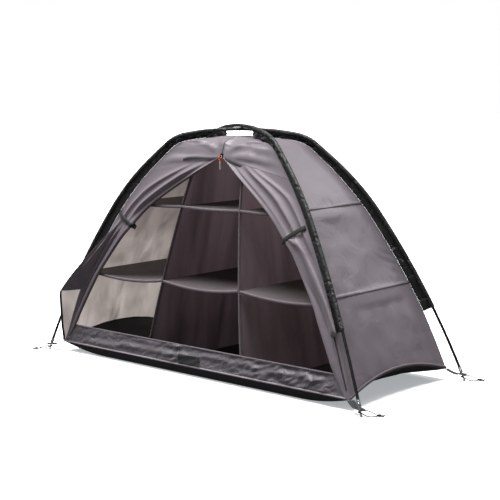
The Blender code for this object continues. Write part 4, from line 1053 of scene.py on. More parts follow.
def add_floor():
    # It throws less light back than it shows, so that the folds keep their shade
    material, tree, shader = blank_material("studio_floor", 0.7)
    seen = add_node(tree, "LightPath").outputs["Is Camera Ray"]
    grain = add_node(tree, "TexNoise", in_Scale=3.0, in_Detail=2.0).outputs["Fac"]
    shown = ranged(tree, seen, 0.0, 1.0, FLOOR_BOUNCE, 1.0)
    level = maths(tree, "MULTIPLY", ranged(tree, grain, 0.0, 1.0, *FLOOR_TONES), shown)
    blend = add_node(tree, "CombineColor", in_0=level, in_1=level, in_2=level)
    tree.links.new(blend.outputs[0], shader.inputs["Base Color"])
    shader.inputs["Specular IOR Level"].default_value = 0.0
    shader.inputs["Emission Color"].default_value = FLOOR_GLOW
    tree.links.new(maths(tree, "MULTIPLY", seen, FLOOR_SHADE), shader.inputs["Emission Strength"])
    sides = ((-1, -1), (1, -1), (1, 1), (-1, 1))
    corners = [(x * FLOOR_REACH, y * FLOOR_REACH, FLOOR_LEVEL) for x, y in sides]
    floor = add_mesh("studio_floor", corners, [(0, 1, 2, 3)], "")
    floor.data.materials.append(material)


def add_studio():
    add_sky()
    add_daylight()
    for box in SOFTBOXES:
        add_softbox(*box)
    add_floor()


# Corners of the footprint: arch, station, and which way the arch leaves the foot
CORNERS = {
    "front_left": (ARCH_A, 0.0, 1),
    "back_right": (ARCH_A, ARCH_A.length, -1),
    "front_right": (ARCH_B, 0.0, 1),
    "back_left": (ARCH_B, ARCH_B.length, -1),
}


def pin_axis(corner):
    # The way that a tip's pin points, from its foot up into the pole
    arch, s, way = corner
    return arch.tangent(s + way * PIN_LENGTH) * way


def pin_point(corner, z):
    # The middle of the pin at height z
    arch, s, _ = corner
    axis = pin_axis(corner)
    return arch.centre(s) + axis * (z / axis[2])


# Stake loops: each cord goes round its pin, through a knot, and ends in two short tails
def knot_line(start, along, across):
    line = []
    for turns in np.linspace(0, KNOT_TURNS, 60):
        sway = across * KNOT_HALF_WIDTH * math.cos(TURN * turns)
        lift = UP * (KNOT_Z + KNOT_HALF_HEIGHT * math.sin(TURN * turns))
        line.append(start + along * (KNOT_AWAY + KNOT_STEP * turns) + sway + lift)
    return np.array(line)


def add_stake_loops():
    for place, corner in CORNERS.items():
        along = unit(LOOP_HEADINGS[place])
        across = np.array([-along[1], along[0], 0.0])
        start = pin_point(corner, LOOP_HOLD_Z) * (1, 1, 0)
        line = smooth_line([start + along * u + across * v + UP * z for u, v, z in LOOP_ROUTE], 4)
        cord = cord_along(f"loop_cord_{place}", line, LOOP_CORD_D, "cord", rounds=4)
        fit(cord, "cord", f"stake_loop_{place}")
        turns = knot_line(start, along, across)
        knot = fit(tube(f"loop_knot_{place}", turns, KNOT_CORD_R, "cord", sides=10), "cord")
        float(run_of(line)[-1])


add_camera()
add_studio()
add_stake_loops()


# Poles, tips, eyelets and corner straps
def add_hardware():
    for letter, arch in (("a", ARCH_A), ("b", ARCH_B)):
        leg_end = arch.shoulder_s - SHOULDER_EASE - 0.001
        joint = (POLE_START + leg_end) / 2
        spans = {
            1: (POLE_START, joint - GAP / 2),
            5: (arch.length - joint + GAP / 2, arch.length - POLE_START),
        }
        for number, (start, end) in spans.items():
            line = arch.centre(np.linspace(start, end, 40))
            pole = tube(f"leg_pole_{letter}_{number}", line, POLE_R, "pole", sides=24)
            fit(pole, "pole", f"pole_{letter}_{number}")
        for number in (2, 3, 4):
            repaint(f"pole_{letter}_{number}", "pole")
        for place in ("front", "back"):
            repaint(f"ferrule_{letter}_{place}", "ferrule")
            repaint(f"elbow_{letter}_{place}", "ferrule")
        repaint(f"shock_cord_{letter}", "shock")
    for place, corner in CORNERS.items():
        add_tip(place, corner)
        add_eyelet(place, corner)


def repaint(node, look):
    # A CAD node whose shape is right keeps it, and gets its finish
    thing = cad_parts[node]
    thing.data.materials.clear()
    thing.data.materials.append(LOOKS[look])
    thing.data.shade_smooth()


def add_tip(place, corner):
    # A turned tip: its pin, its shoulder, its cap with two grooves, and the bore that the pole is in
    bore_r = POLE_R + GAP
    cap_r = bore_r + TIP_WALL
    cap_end = PIN_LENGTH + TIP_CAP
    profile = [
        (0.0004, PIN_R - 0.0007), (0.0008, PIN_R - 0.0002), (0.0016, PIN_R),
        (PIN_LENGTH - 0.001, PIN_R), (PIN_LENGTH, PIN_R + 0.0005), (PIN_LENGTH, cap_r - 0.0015),
        (PIN_LENGTH + 0.0006, cap_r - 0.0005), (PIN_LENGTH + 0.0015, cap_r),
    ]
    for groove in TIP_GROOVES:
        middle = PIN_LENGTH + groove
        profile += [(middle - 0.0008, cap_r), (middle - 0.0004, cap_r - 0.0003),
                    (middle + 0.0004, cap_r - 0.0003), (middle + 0.0008, cap_r)]
    profile += [(cap_end - 0.0004, cap_r), (cap_end, cap_r - 0.0003), (cap_end, bore_r),
                (PIN_LENGTH + 0.003, bore_r), (PIN_LENGTH + 0.003, 0.0002)]
    arch, s, _ = corner
    tip = turned(f"foot_tip_{place}", arch.centre(s), pin_axis(corner), profile, "tip")
    fit(tip, "tip", f"pole_tip_{place}")


def add_eyelet(place, corner):
    # A turned ring through the strap: its barrel below, and its rolled flange on top
    bore, barrel, flange = EYELET_BORE / 2, EYELET_BORE / 2 + 0.0009, EYELET_FLANGE / 2
    top = STRAP_THICKNESS + GAP
    profile = [
        (0.0002, bore + 0.0003), (0.0, barrel - 0.0003), (0.0003, barrel), (top, barrel),
        (top, flange - 0.0004), (top + 0.0003, flange), (top + 0.0007, flange - 0.0003),
        (top + 0.0010, flange - 0.0016), (top + 0.0010, bore + 0.0014), (top + 0.0006, bore),
    ]
    foot = pin_point(corner, STRAP_Z)
    eyelet = turned(f"strap_eyelet_{place}", foot, UP, profile, "eyelet", sides=36, closed=True)
    fit(eyelet, "tip", f"eyelet_{place}")


def add_corner_straps():
    for place, corner in CORNERS.items():
        arch, s, _ = corner
        out = unit(arch.centre(s) * (1, 1, 0))
        across = np.array([-out[1], out[0], 0.0])
        pin_r = float(pin_point(corner, STRAP_Z) @ out)
        start = float(seam(seam_s_at(HEM_Z))[0]) + 3 * GAP
        bend = pin_r - STRAP_LEVEL
        key = (
            (start, HEM_Z - STRAP_THICKNESS - GAP),
            ((start + bend) / 2, (HEM_Z + STRAP_Z) / 2 - STRAP_THICKNESS),
            (bend, STRAP_Z),
            (pin_r - STRAP_BEHIND, STRAP_Z),
        )
        lead = smooth_line([out * r + UP * (z + STRAP_THICKNESS / 2) for r, z in key], 6)
        fit(strap_round_hole(lead, out, across, corner, place), "webbing", f"corner_strap_{place}")
        spot = out * (bend - 0.004) + UP * (STRAP_Z + STRAP_THICKNESS + 0.0004)
        box = [spot + out * a + across * b for a, b in STRAP_STITCHING]
        thread = stitches(f"strap_stitch_{place}", straight_runs(box), UP, "dark_thread", pitch=0.0022)
        fit(thread, "webbing")


def straight_runs(points):
    # The straight runs from each point to the next
    return [np.array(pair) for pair in zip(points, points[1:])]


def strap_round_hole(lead, out, across, corner, place):
    # A web strap: a plate with a hole for the eyelet, and the lead that comes down to it
    half, half_thick = STRAP_WIDTH / 2, STRAP_THICKNESS / 2
    centre = pin_point(corner, STRAP_Z) * (1, 1, 0)
    hole_r = EYELET_BORE / 2 + 0.0011
    count = 32
    hole, rim = [], []
    for turn in TURN * np.arange(count) / count:
        c, s = math.cos(turn), math.sin(turn)
        ahead = STRAP_END if c > 0 else STRAP_BEHIND
        reach = min(half / max(abs(s), 1e-6), ahead / max(abs(c), 1e-6))
        hole.append(centre + out * hole_r * c + across * hole_r * s)
        rim.append(centre + out * reach * c + across * reach * s)
    points = [p * (1, 1, 0) + UP * z for z in (STRAP_Z, STRAP_Z + STRAP_THICKNESS) for p in rim + hole]
    low_hole, high_rim, high_hole = count, 2 * count, 3 * count
    faces = []
    for i in range(count):
        j = (i + 1) % count
        faces += [
            (high_rim + i, high_rim + j, high_hole + j, high_hole + i),
            (i, low_hole + i, low_hole + j, j),
            (low_hole + i, high_hole + i, high_hole + j, low_hole + j),
            (i, j, high_rim + j, high_rim + i),
        ]
    base = len(points)
    for p in lead[:-1]:
        corners = [(side, lift) for side in (-half, half) for lift in (-half_thick, half_thick)]
        points += [p + across * side + UP * lift for side, lift in corners]
    end = len(points) - 4
    for a in range(base, end, 4):
        for m, n in ((0, 1), (1, 3), (3, 2), (2, 0)):
            faces.append((a + m, a + n, a + 4 + n, a + 4 + m))
    faces += [(base, base + 2, base + 3, base + 1), (end, end + 1, end + 3, end + 2)]
    points = np.array(points)
    grain = np.stack([points @ across, points @ out, 0 * points[:, 0]], 1)
    return add_mesh(f"web_strap_{place}", points, faces, "webbing", 40, grain=grain)


# Sleeves: a channel round the pole that runs down into a flat web
# SLEEVE_SIDES points go round the channel, and WEB_SHARES are the places of those down the web
SLEEVE_SIDES = 14
WEB_SHARES = np.linspace(0, 1, 9)


def sleeve_stations(arch, hole_s, web_s):
    # Close together where there is a web, and a short step at each end of the hand hole
    step = 0.0004
    return np.concatenate([
        np.linspace(SLEEVE_START, web_s, 150),
        np.linspace(web_s + step, hole_s, 5),
        np.linspace(hole_s, arch.length - hole_s, 40)[1:],
        np.linspace(arch.length - hole_s, arch.length - web_s - step, 5)[1:],
        np.linspace(arch.length - web_s, arch.length - SLEEVE_START, 150),
    ])


def sleeve_section(centre, outward, across, down, radius, reach, pleat):
    # One cut through a sleeve: round the pole, and down one face of the web and up the other,
    # then the bore that the pole lies in
    half_gap = math.asin(WEB_THICKNESS / 2 / radius)
    turn = np.linspace(math.pi + half_gap, 3 * math.pi - half_gap, SLEEVE_SIDES)
    spokes = [math.cos(t) * outward + math.sin(t) * across for t in turn]
    web = []
    for side in (-1, 1):
        column = []
        for share, sway in zip(WEB_SHARES, pleat):
            depth = radius * math.cos(half_gap) + (reach - radius) * share
            close = ramp(share * (reach - radius), 0.0, 0.009)
            flare = (radius * 0.55 - WEB_THICKNESS / 2) * (1 - close) if share else 0.0
            swing = sway * math.sin(math.pi * min(1.0, share * 1.02)) ** 0.7
            column.append(centre + down * depth + across * (side * (WEB_THICKNESS / 2 + flare) + swing))
        web.append(column)
    outer = [centre + radius * spoke for spoke in spokes] + web[1][1:] + web[0][:0:-1]
    return outer, [centre + (radius - SLEEVE_WALL) * spoke for spoke in spokes]


def sleeve_faces(has_web, around):
    # around: points round one cut, of which the first SLEEVE_SIDES are the channel's
    sides, count = SLEEVE_SIDES, len(has_web)
    base = count * around
    faces = []
    for n in range(count - 1):
        a, b = n * around, (n + 1) * around
        span = around if has_web[n] and has_web[n + 1] else sides
        faces += [(a + i, a + (i + 1) % span, b + (i + 1) % span, b + i) for i in range(span)]
        c, d = base + n * sides, base + (n + 1) * sides
        faces += [(c + (i + 1) % sides, c + i, d + i, d + (i + 1) % sides) for i in range(sides)]
        if has_web[n] != has_web[n + 1]:
            e = a if has_web[n] else b
            cap = [e + k for k in range(sides - 1, around)] + [e]
            faces.append(cap[::-1] if has_web[n] else cap)
    for n, flip in ((0, False), (count - 1, True)):
        a, c = n * around, base + n * sides
        ends = [(a + i + 1, a + i, c + i, c + i + 1) for i in range(sides - 1)]
        ends.append((a, a + sides - 1, c + sides - 1, c))
        ends.append([a + k for k in range(sides - 1, around)] + [a])
        faces += [q[::-1] if flip else q for q in ends]
    return faces


def sleeve_thread(letter, arch, web_s):
    # The two rows of thread on each face of each web, by the seam to the body
    rows = []
    for start, end in ((SLEEVE_START, web_s), (arch.length - web_s, arch.length - SLEEVE_START)):
        marks = np.linspace(start + 0.004, end - 0.004, 120)
        middle = arch.centre(marks)
        root = seam_on(arch, marks)
        low = np.linalg.norm(root - middle, axis=1)[:, None] - 0.0030
        rows += [middle + unit(root - middle) * low + arch.across * side * 0.0009 for side in (-1, 1)]
    name = f"sleeve_stitch_{letter}"
    return fit(stitches(name, rows, arch.across, "dark_thread", pitch=0.0042, size=0.0003), "sleeve")


def add_sleeve(letter, arch):
    hole_s = arch.apex_s - HANDLE_HALF
    web_s = hole_s - HANDLE_TAPER
    parts = sleeve_stations(arch, hole_s, web_s)
    has_web = (parts <= web_s) | (parts >= arch.length - web_s)
    centre, outward = arch.centre(parts), arch.outward(parts)
    root = seam_on(arch, parts)
    reach = np.linalg.norm(root - centre, axis=1) - GAP
    down = unit(root - centre)
    from_top = np.minimum(parts, arch.length - parts)
    tight = ramp(from_top, hole_s - 0.014, hole_s)
    radius = SLEEVE_R + (SLEEVE_TIGHT_R - SLEEVE_R) * tight
    pleat = pleat_depth(arch, parts[:, None], from_top[:, None], WEB_SHARES * reach[:, None])
    cuts = [
        sleeve_section(centre[n], outward[n], arch.across, down[n], radius[n], reach[n], pleat[n])
        for n in range(len(parts))
    ]
    outer, inner = (np.array(part) for part in zip(*cuts))
    around = outer.shape[1]
    faces = sleeve_faces(has_web, around)
    used = sorted({v for f in faces for v in f})
    order = {old: new for new, old in enumerate(used)}
    faces = [tuple(order[v] for v in f) for f in faces]
    points = np.concatenate([outer.reshape(-1, 3), inner.reshape(-1, 3)])[used]
    along = np.concatenate([np.repeat(parts, around), np.repeat(parts, SLEEVE_SIDES)])
    steps = ((around, 0.004), (SLEEVE_SIDES, 0.003))
    across = [np.tile(np.arange(count) * step, len(parts)) for count, step in steps]
    grain = np.stack([np.concatenate(across), along, 0 * along], 1)[used]
    sleeve = add_mesh(f"pole_sleeve_{letter}", points, faces, "sleeve", 50, grain=grain)
    if mesh_volume(sleeve.data) < 0:
        sleeve.data.flip_normals()
    fit(sleeve, "sleeve", f"sleeve_{letter}")
    thread = sleeve_thread(letter, arch, web_s)


def pleat_depth(arch, parts, from_top, low):
    # How far the web swings out of its plane: slanting gathers near the crown, slack lower down
    crown = ramp(from_top, arch.shoulder_s - 0.16, arch.shoulder_s + 0.01)
    slant = parts + 1.3 * low
    waves = soft_noise(slant, 0.35 * low, 0.015, 81) + 0.7 * soft_noise(parts - 0.8 * low, low, 0.011, 83)
    slack = soft_noise(parts, low, 0.05, 85) * 0.0022
    return crown * waves * 0.0062 + slack


def mesh_volume(mesh):
    # Six times the volume, below zero where the faces look inwards
    volume = 0.0
    for face in mesh.polygons:
        corners = [mesh.vertices[v].co for v in face.vertices]
        for second, third in zip(corners[1:], corners[2:]):
            volume += corners[0].dot(second.cross(third))
    return volume


# Walls of the body
def divider_x(z):
    # How far each divider stands from the middle at height z
    return DIVIDER_FOOT_X - DIVIDER_LEAN * z


def wall_frame(facing):
    # The way that a wall faces, and the way along its width
    facing = np.array(facing, float)
    return facing, np.array([abs(facing[1]), abs(facing[0]), 0.0])


def wall_grid(half_span, facing, columns, stations, relief):
    # columns: each column's share of the half width. stations: where each point is up the wall.
    # relief(x, s) lifts the cloth off the wall.
    facing, width_dir = wall_frame(facing)
    top_s = ARCH_A.apex_s - APEX_CUT
    s = stations
    flat = wall_point(half_span, s)
    slope = wall_slope(half_span, s)
    x = columns[None, :] * wall_edge(half_span, s)
    held = (1 - np.abs(columns[None, :]) ** 6) * ramp(s - s[:1], 0.0, 0.015)
    lift = relief(x, s) * held * (1 - ramp(s, top_s - 0.03, top_s))
    normal = slope[..., 1:] * facing - slope[..., :1] * UP
    return flat[..., :1] * facing + x[..., None] * width_dir + flat[..., 1:] * UP + normal * lift[..., None]


def level_stations(starts):
    # Rows that follow the hem at the bottom and run level from a hand's width above it
    low = float(starts.min())
    marks = marks_between(low, ARCH_A.apex_s - APEX_CUT, ROW_STEP, PANEL_SEAMS)[:, None]
    settle = np.clip(1 - (marks - low) / HEM_SETTLE, 0, 1)
    return marks + (starts[None, :] - low) * settle


def wall_relief(x, s, seed):
    # Slack, ridges along the seams, and the puckers that their stitches draw
    lift = 0.0024 * soft_noise(x, s, 0.17, 3 + seed) + 0.0010 * soft_noise(x, s, 0.055, 5 + seed)
    for station in PANEL_SEAMS:
        away = np.abs(s - station)
        lift = lift + 0.0012 * (1 - ramp(away, 0.8 * SEAM_HALF, 1.2 * SEAM_HALF))
        pucker = soft_noise(x, s * 0.22, 0.010, 11 + seed) * bell(s, station + 0.010, 0.018)
        lift = lift + 0.0016 * pucker * (away > 0.9 * SEAM_HALF)
    return lift


def shelf_clearance(z):
    # Height from the nearest shelf's edge, allowing for its sag
    upper = np.abs(z - UPPER_SHELF_Z + UPPER_SAG / 2) - UPPER_SAG / 2
    middle = np.abs(z - MIDDLE_SHELF_Z + MIDDLE_SAG / 2) - MIDDLE_SAG / 2
    return np.minimum(upper, middle)


def kept_clear(lift, away):
    # The cloth hangs slack only away from the inner walls that it is sewn to
    return np.maximum(lift, -0.0001 - 0.0070 * ramp(away, 0.004, 0.040))


def side_relief(side):
    def relief(x, s):
        z = seam_z_at(s)
        stripes = np.sin(x * TURN / 0.070 + 1.4 * np.sin(s * 9)) * bell(z, 0.16, 0.10)
        tug = np.sin((s + 0.45 * x) * TURN / 0.030) * bell(x, 0.17, 0.04) * bell(z, 0.36, 0.045)
        hollow = bell(z, 0.40, 0.12) * (1 - (x / 0.25) ** 2)
        fan = np.sin(np.arctan2(z - 0.60, x + 0.30) * 22) * bell(z, 0.62, 0.05)
        lift = wall_relief(x, s, side) + 0.0014 * stripes + 0.0026 * tug - 0.0045 * hollow + 0.0012 * fan
        return kept_clear(lift, shelf_clearance(z))

    return relief


def back_relief(x, s):
    waves = np.sin(x * TURN / 0.085 + 1.1 * np.sin(s * 7)) * (1 - ramp(s, 0.1, 0.7))
    z = seam_z_at(s)
    away = np.minimum(shelf_clearance(z), np.abs(np.abs(x) - divider_x(z)))
    return kept_clear(1.3 * wall_relief(x, s, 20) + 0.0016 * waves, away)


def hem_stations(columns):
    # The side panels' lower edges rise towards the middle
    return seam_s_at(HEM_Z + SIDE_HEM_RISE * (1 - columns ** 2))


def add_seams(name, grid, stations, facing):
    # A felled seam along each row that lies on a seam, with a dark strip of painted shadow below
    # its fold, and its two rows of thread
    pieces = []
    middle = grid.shape[1] // 2
    for number, station in enumerate(PANEL_SEAMS):
        row = int(np.argmin(np.abs(stations[:, middle] - station)))
        line = grid[row, 1:-1]
        up = unit(grid[row + 1, 1:-1] - grid[row - 1, 1:-1])
        out = unit(np.cross(np.gradient(line, axis=0), up))
        out = out * np.sign((out * facing).sum(-1, keepdims=True))
        # The dark strip below the fell is painted shadow under the seam's fold
        shadow = line - up * SEAM_SHADOW_DROP + out * 0.0010
        rows = [line + up * off + out * 0.0010 for off in THREAD_ROWS]
        pieces += [
            ribbon(f"{name}_fell_{number}", line + out * 0.0003, up, out, *FELL_SIZE, "fabric"),
            ribbon(f"{name}_painted_shadow_{number}", shadow, up, out, *SEAM_SHADOW_SIZE, "dark_thread"),
            stitches(f"{name}_stitch_{number}", rows, facing, "thread", pitch=0.0036, size=0.0004),
        ]
    return [fit(piece, "fabric") for piece in pieces]


def binding_along(name, line, towards, width, thickness, look="binding", slot="fabric", body="cupboard"):
    # An edge binding folded over the rim of a sheet: line is the rim, towards points off the sheet
    line = evenly(line, 0.006)
    along = unit(np.gradient(line, axis=0))
    face = unit(np.cross(along, np.cross(towards, along)))
    side = unit(np.cross(face, along))
    return fit(ribbon(name, line, side, face, width, thickness, look), slot, body=body)


def add_panel(name, node, facing, half_span, columns, starts, relief, looks, tuck=0.0):
    # A whole wall with its seams and hem; tuck is how far the hem's binding sits back
    facing = np.array(facing, float)
    stations = level_stations(starts)
    grid = wall_grid(half_span, facing, columns, stations, relief)
    panel = fit(cloth(f"{name}_shell", grid, FABRIC, looks, facing), "fabric", node)
    trims = add_seams(name, grid, stations, facing)
    hem_line = grid[0] - facing * tuck + UP * 0.0035
    trims.append(binding_along(f"{name}_hem", hem_line, facing, width=0.009, thickness=0.003))
    declare_cloth(panel, grid, trims)


def add_walls():
    columns = np.sin(np.linspace(-1, 1, 71) * math.pi / 2)
    for name, side in (("left_side_panel", -1), ("right_side_panel", 1)):
        add_panel(name, name, (side, 0, 0), HALF_X, columns, hem_stations(columns), side_relief(side),
                  "fabric lining fabric", tuck=0.0004)
    starts = np.full(121, float(seam_s_at(HEM_Z)))
    add_panel("back", "back_panel", -FORWARD, HALF_Y, np.linspace(-1, 1, 121), starts, back_relief,
              "fabric shade fabric")


def header_columns():
    # The header's lower edge climbs from both sides to the zip's top: the columns, each as its
    # share of the wall's half width, and the station that each starts at
    side_s = seam_s_at(HEADER_SIDE_Z)
    tip = np.array([ZIP_TONGUE, ZIP_TOP_Z])
    side = np.array([wall_edge(HALF_Y, side_s), HEADER_SIDE_Z])
    left, right = [], []
    for w in np.linspace(0.0, 1.0, 36):
        x, z = tip + (side - tip) * w
        s = seam_s_at(z)
        edge, lead = wall_edge(HALF_Y, s), ZIP_X * (1 - w)
        left.insert(0, ((lead - x) / edge, s))
        right.append(((lead + x) / edge, s))
    tip_s = seam_s_at(ZIP_TOP_Z)
    columns = np.array(left + [(ZIP_X / wall_edge(HALF_Y, tip_s), tip_s)] + right)
    return columns[:, 0], columns[:, 1]


def header_relief(x, s):
    # Slack that fans out from the zip's top, swags beside it, and the zip's own low ridge
    zip_s = float(seam_s_at(ZIP_TOP_Z))
    from_zip = np.hypot(x - ZIP_X, (s - zip_s) * 1.3) + 0.01
    spokes = np.sin(np.arctan2(s - zip_s, x - ZIP_X + 1e-6) * 8 + 0.8)
    lift = 0.0032 * spokes * ramp(from_zip, 0.02, 0.12) * (1 - ramp(from_zip, 0.18, 0.32))
    swag = np.sin((s - zip_s) * TURN / 0.055 + 3.0 * np.abs(x) / 0.2)
    lift = lift + 0.0022 * swag * ramp(np.abs(x), 0.04, 0.16)
    lift = lift + 0.0026 * soft_noise(x, s, 0.09, 31) + 0.0010 * soft_noise(x, s, 0.03, 33)
    return np.maximum(lift, -0.0022) + 0.0011 * (1 - ramp(np.abs(x - ZIP_X), 0.002, 0.005))


def add_header():
    columns, starts = header_columns()
    share = np.linspace(0, 1, 46)[:, None]
    stations = starts[None, :] + (ARCH_A.apex_s - APEX_CUT - starts[None, :]) * share
    grid = wall_grid(HALF_Y, FORWARD, columns, stations, header_relief)
    shell = cloth("header_shell", grid, FABRIC, "fabric shade fabric", FORWARD)
    fit(shell, "fabric", "front_header")
    centre_line = grid[3:-3, len(columns) // 2] + FORWARD * 0.0006
    rows = [centre_line + np.array([off, 0, 0]) for off in (-0.0028, 0.0028)]
    coil = centre_line + FORWARD * 0.0006 + UP * 0.0002
    trims = [
        fit(stitches("header_stitch", rows, FORWARD, "hem", pitch=0.0036, size=0.0006), "fabric"),
        binding_along("header_zip_coil", coil, FORWARD + 0.4 * UP, width=0.0022, thickness=0.001),
    ]
    for label, points in (("left", ZIP_TAPE_LEFT), ("right", ZIP_TAPE_RIGHT)):
        x, z, proud = smooth_line(points, 8).T
        run = np.stack([x, -wall_reach(HALF_Y, z) - proud, z], 1)
        towards = FORWARD + 0.5 * UP
        tape = binding_along(f"header_zip_tape_{label}", run, towards, 0.0085, 0.0014, look="tape")
        trims.append(tape)
    declare_cloth(shell, grid, trims)


# Doors, gathered and tied back
def door_free_x(seam_z, width):
    # How far the free edge of a door's row is from the middle
    return wall_edge(HALF_Y, seam_s_at(seam_z)) - width


def door_rows(steps):
    # For each row its height at the seam, and its free edge's distance from the middle and height
    top = (HEADER_SIDE_Z - 2 * GAP, ZIP_TONGUE + GAP, ZIP_TOP_Z - 2 * GAP)
    foot_z = HEM_Z + GAP
    rows = [(z, door_free_x(z, width), free_z) for z, width, free_z in DOOR_EDGES]
    return smooth_line([top] + rows + [(foot_z, door_free_x(foot_z, DOOR_FOOT_WIDTH), foot_z)], steps)


TIE_Z = (DOOR_EDGES[TIE_ROW - 1][0] + DOOR_EDGES[TIE_ROW - 1][2]) / 2

# Folds: where each lies across the flap, how wide, and its height at the tie and in the fan
FAN_FOLDS = {
    -1: ((0.71, 0.140, 0.0080, 0.0215), (0.36, 0.110, 0.0070, 0.0120)),
    1: ((0.80, 0.140, 0.0070, 0.0085), (0.46, 0.120, 0.0075, 0.0095), (0.18, 0.075, 0.0060, 0.0050)),
}
# The same below the tie, for each side, with the height at the flap's end
LOW_FOLDS = {
    -1: ((0.40, 0.045, -0.0130), (0.53, 0.050, 0.0110), (0.66, 0.045, -0.0110), (0.79, 0.050, 0.0080)),
    1: (),
}
CREST = {-1: LEFT_BULGE, 1: 0.026}
CREST_LEAN = {-1: 0.45, 1: 0.95}
WING_FOLD_TURN = TURN / 0.085
# The roll on the right, by how far it is from the tie to the flap's end: its place across
# the flap and half its width
ROLL_DOWN = (0.0, 0.23, 0.46, 0.70, 1.0)
ROLL_PLACE = (0.66, 0.62, 0.48, 0.33, 0.20)
ROLL_HALF = (0.24, 0.36, 0.40, 0.36, 0.30)


def fan_rise(side, up, k):
    # The gathered cloth above the tie, where up runs from the tie to the top of the zip. The
    # folds fan out from the tie and come together again at the zip.
    dome = np.sin(math.pi * np.clip(k, 0, 1)) ** 0.7
    rise = 0.22 * TIE_FOLD * dome * (1 - ramp(up, 0.55, 1.0))
    for n, (place, spread, at_tie, in_fan) in enumerate(FAN_FOLDS[side]):
        tall = at_tie + (in_fan - at_tie) * ramp(up, 0.0, 0.30)
        drift = place + 0.020 * np.sin(2.8 * up + 2.1 * n) + (0.90 - place) * 0.55 * ramp(up, 0.40, 1.0)
        sharp = np.exp(-np.abs((k - drift) / (spread * (1 - 0.4 * ramp(up, 0.5, 1.0)))) ** 1.6)
        rise = rise + tall * sharp * (1 - ramp(up, 0.72, 0.99))
    return rise


def below_tie(z):
    # How far down from the tie to the flap's end, and from there on to the hem
    down = np.clip((TIE_Z - z) / (TIE_Z - FLAP_END_Z), 0, 1)
    return down, np.clip((FLAP_END_Z - z) / (FLAP_END_Z - HEM_Z), 0, 1)


def crest_rise(side, z, k):
    # The wing on the left and the roll on the right, highest where the flap ends
    down, foot = below_tie(z)
    if side < 0:
        ridge = bell(k, 0.25, 0.17) * np.sqrt(np.clip(np.sin(TURN * k), 0, 1)) * (k < 0.5)
        wing = CREST[side] * ridge * (0.5 * down + 0.5 * ramp(down, 0, 1))
        folds = np.sin((k - 0.25) * WING_FOLD_TURN + 1.6 * down) * bell(k, 0.34, 0.13)
        return (wing + 0.0048 * folds * ramp(down, 0.05, 0.4) * (k < 0.5)) * (1 - foot)
    place, half = np.interp(down, ROLL_DOWN, ROLL_PLACE), np.interp(down, ROLL_DOWN, ROLL_HALF)
    round_top = np.clip(1 - ((k - place) / half) ** 2, 0, 1) ** 0.8 * ramp(k, 0.0, 0.10)
    swell = (0.62 + 0.38 * down) * ramp(down, 0.0, 0.10) * (1 - ramp(foot, 0.0, 0.12))
    return CREST[side] * round_top * swell


def door_rise(side, z, k):
    # How far the cloth stands forward of the front face, k from seam to free edge
    up = np.clip((z - TIE_Z) / (ZIP_TOP_Z - TIE_Z), 0, 1)
    down, foot = below_tie(z)
    low = crest_rise(side, z, k)
    for place, spread, height in LOW_FOLDS[side]:
        low = low + height * bell(k, place, spread) * ramp(down, 0.0, 0.4) * (1 - foot)
    low = low + fan_rise(side, 0.0 * up, k) * (1 - ramp(down, 0.0, 1.0 if side < 0 else 0.30))
    if side > 0:
        pleats = 0.0050 * bell(k, 0.42, 0.07) + 0.0040 * bell(k, 0.74, 0.07)
        low = low + pleats * ramp(foot, 0.0, 0.2) * (1 - ramp(foot, 0.75, 1.0))
    return np.where(z > TIE_Z, fan_rise(side, up, k), low)


def door_grid(side):
    # Rows from the header to the hem; the free edge turns back round a roll and is tucked under
    grid = []
    for seam_z, free_x, free_z in door_rows(12):
        seam_x = float(wall_edge(HALF_Y, seam_s_at(seam_z)))
        width = math.hypot(free_x - seam_x, free_z - seam_z)
        slim = 1 - 0.6 * float(ramp(free_z, 0.60, ZIP_TOP_Z))
        roll = DOOR_ROLL_R * float(ramp(free_z, HEM_Z, 0.16)) * slim
        roll = min(max(roll, 0.0009), width * 0.12)
        k_end = 1 - roll / width
        k = np.linspace(0, k_end, DOOR_COLUMNS)
        near = ramp(k * width, k_end * width - 0.024, k_end * width)
        rise = np.maximum(door_rise(side, seam_z + (free_z - seam_z) * k, k), 0.0007 * ramp(k, 0.0, 0.08))
        rise = rise * (1 - near) + 2 * roll * near
        turn = np.linspace(0, 1.15 * math.pi, DOOR_ROLL_COLUMNS)[1:]
        k_roll = k_end + roll * np.sin(turn) / width
        tuck = np.linspace(0.002, min(0.014, width * 0.2), DOOR_TUCK_COLUMNS)
        k_all = np.concatenate([k, k_roll, k_roll[-1] - tuck / width])
        rise_all = np.concatenate([rise, roll + roll * np.cos(turn) + 0.0004, 0 * tuck + 0.0004])
        z = seam_z + (free_z - seam_z) * k_all
        lean = CREST_LEAN[side] * np.where(k_all < k_end, crest_rise(side, z, k_all), 0.0)
        x = side * (seam_x + (free_x - seam_x) * k_all + lean * ramp(TIE_Z - z, 0.0, 0.05))
        x = x + ZIP_X * float(ramp(free_z, TIE_Z, ZIP_TOP_Z)) * np.clip(k_all, 0, 1)
        grid.append(np.stack([x, -wall_reach(HALF_Y, z) - rise_all, z], 1))
    return np.array(grid)


def run_down(grid, column, top, foot):
    # The part of one of the door's columns that lies between two heights
    line = grid[:, column]
    return line[(line[:, 2] < top) & (line[:, 2] > foot)]


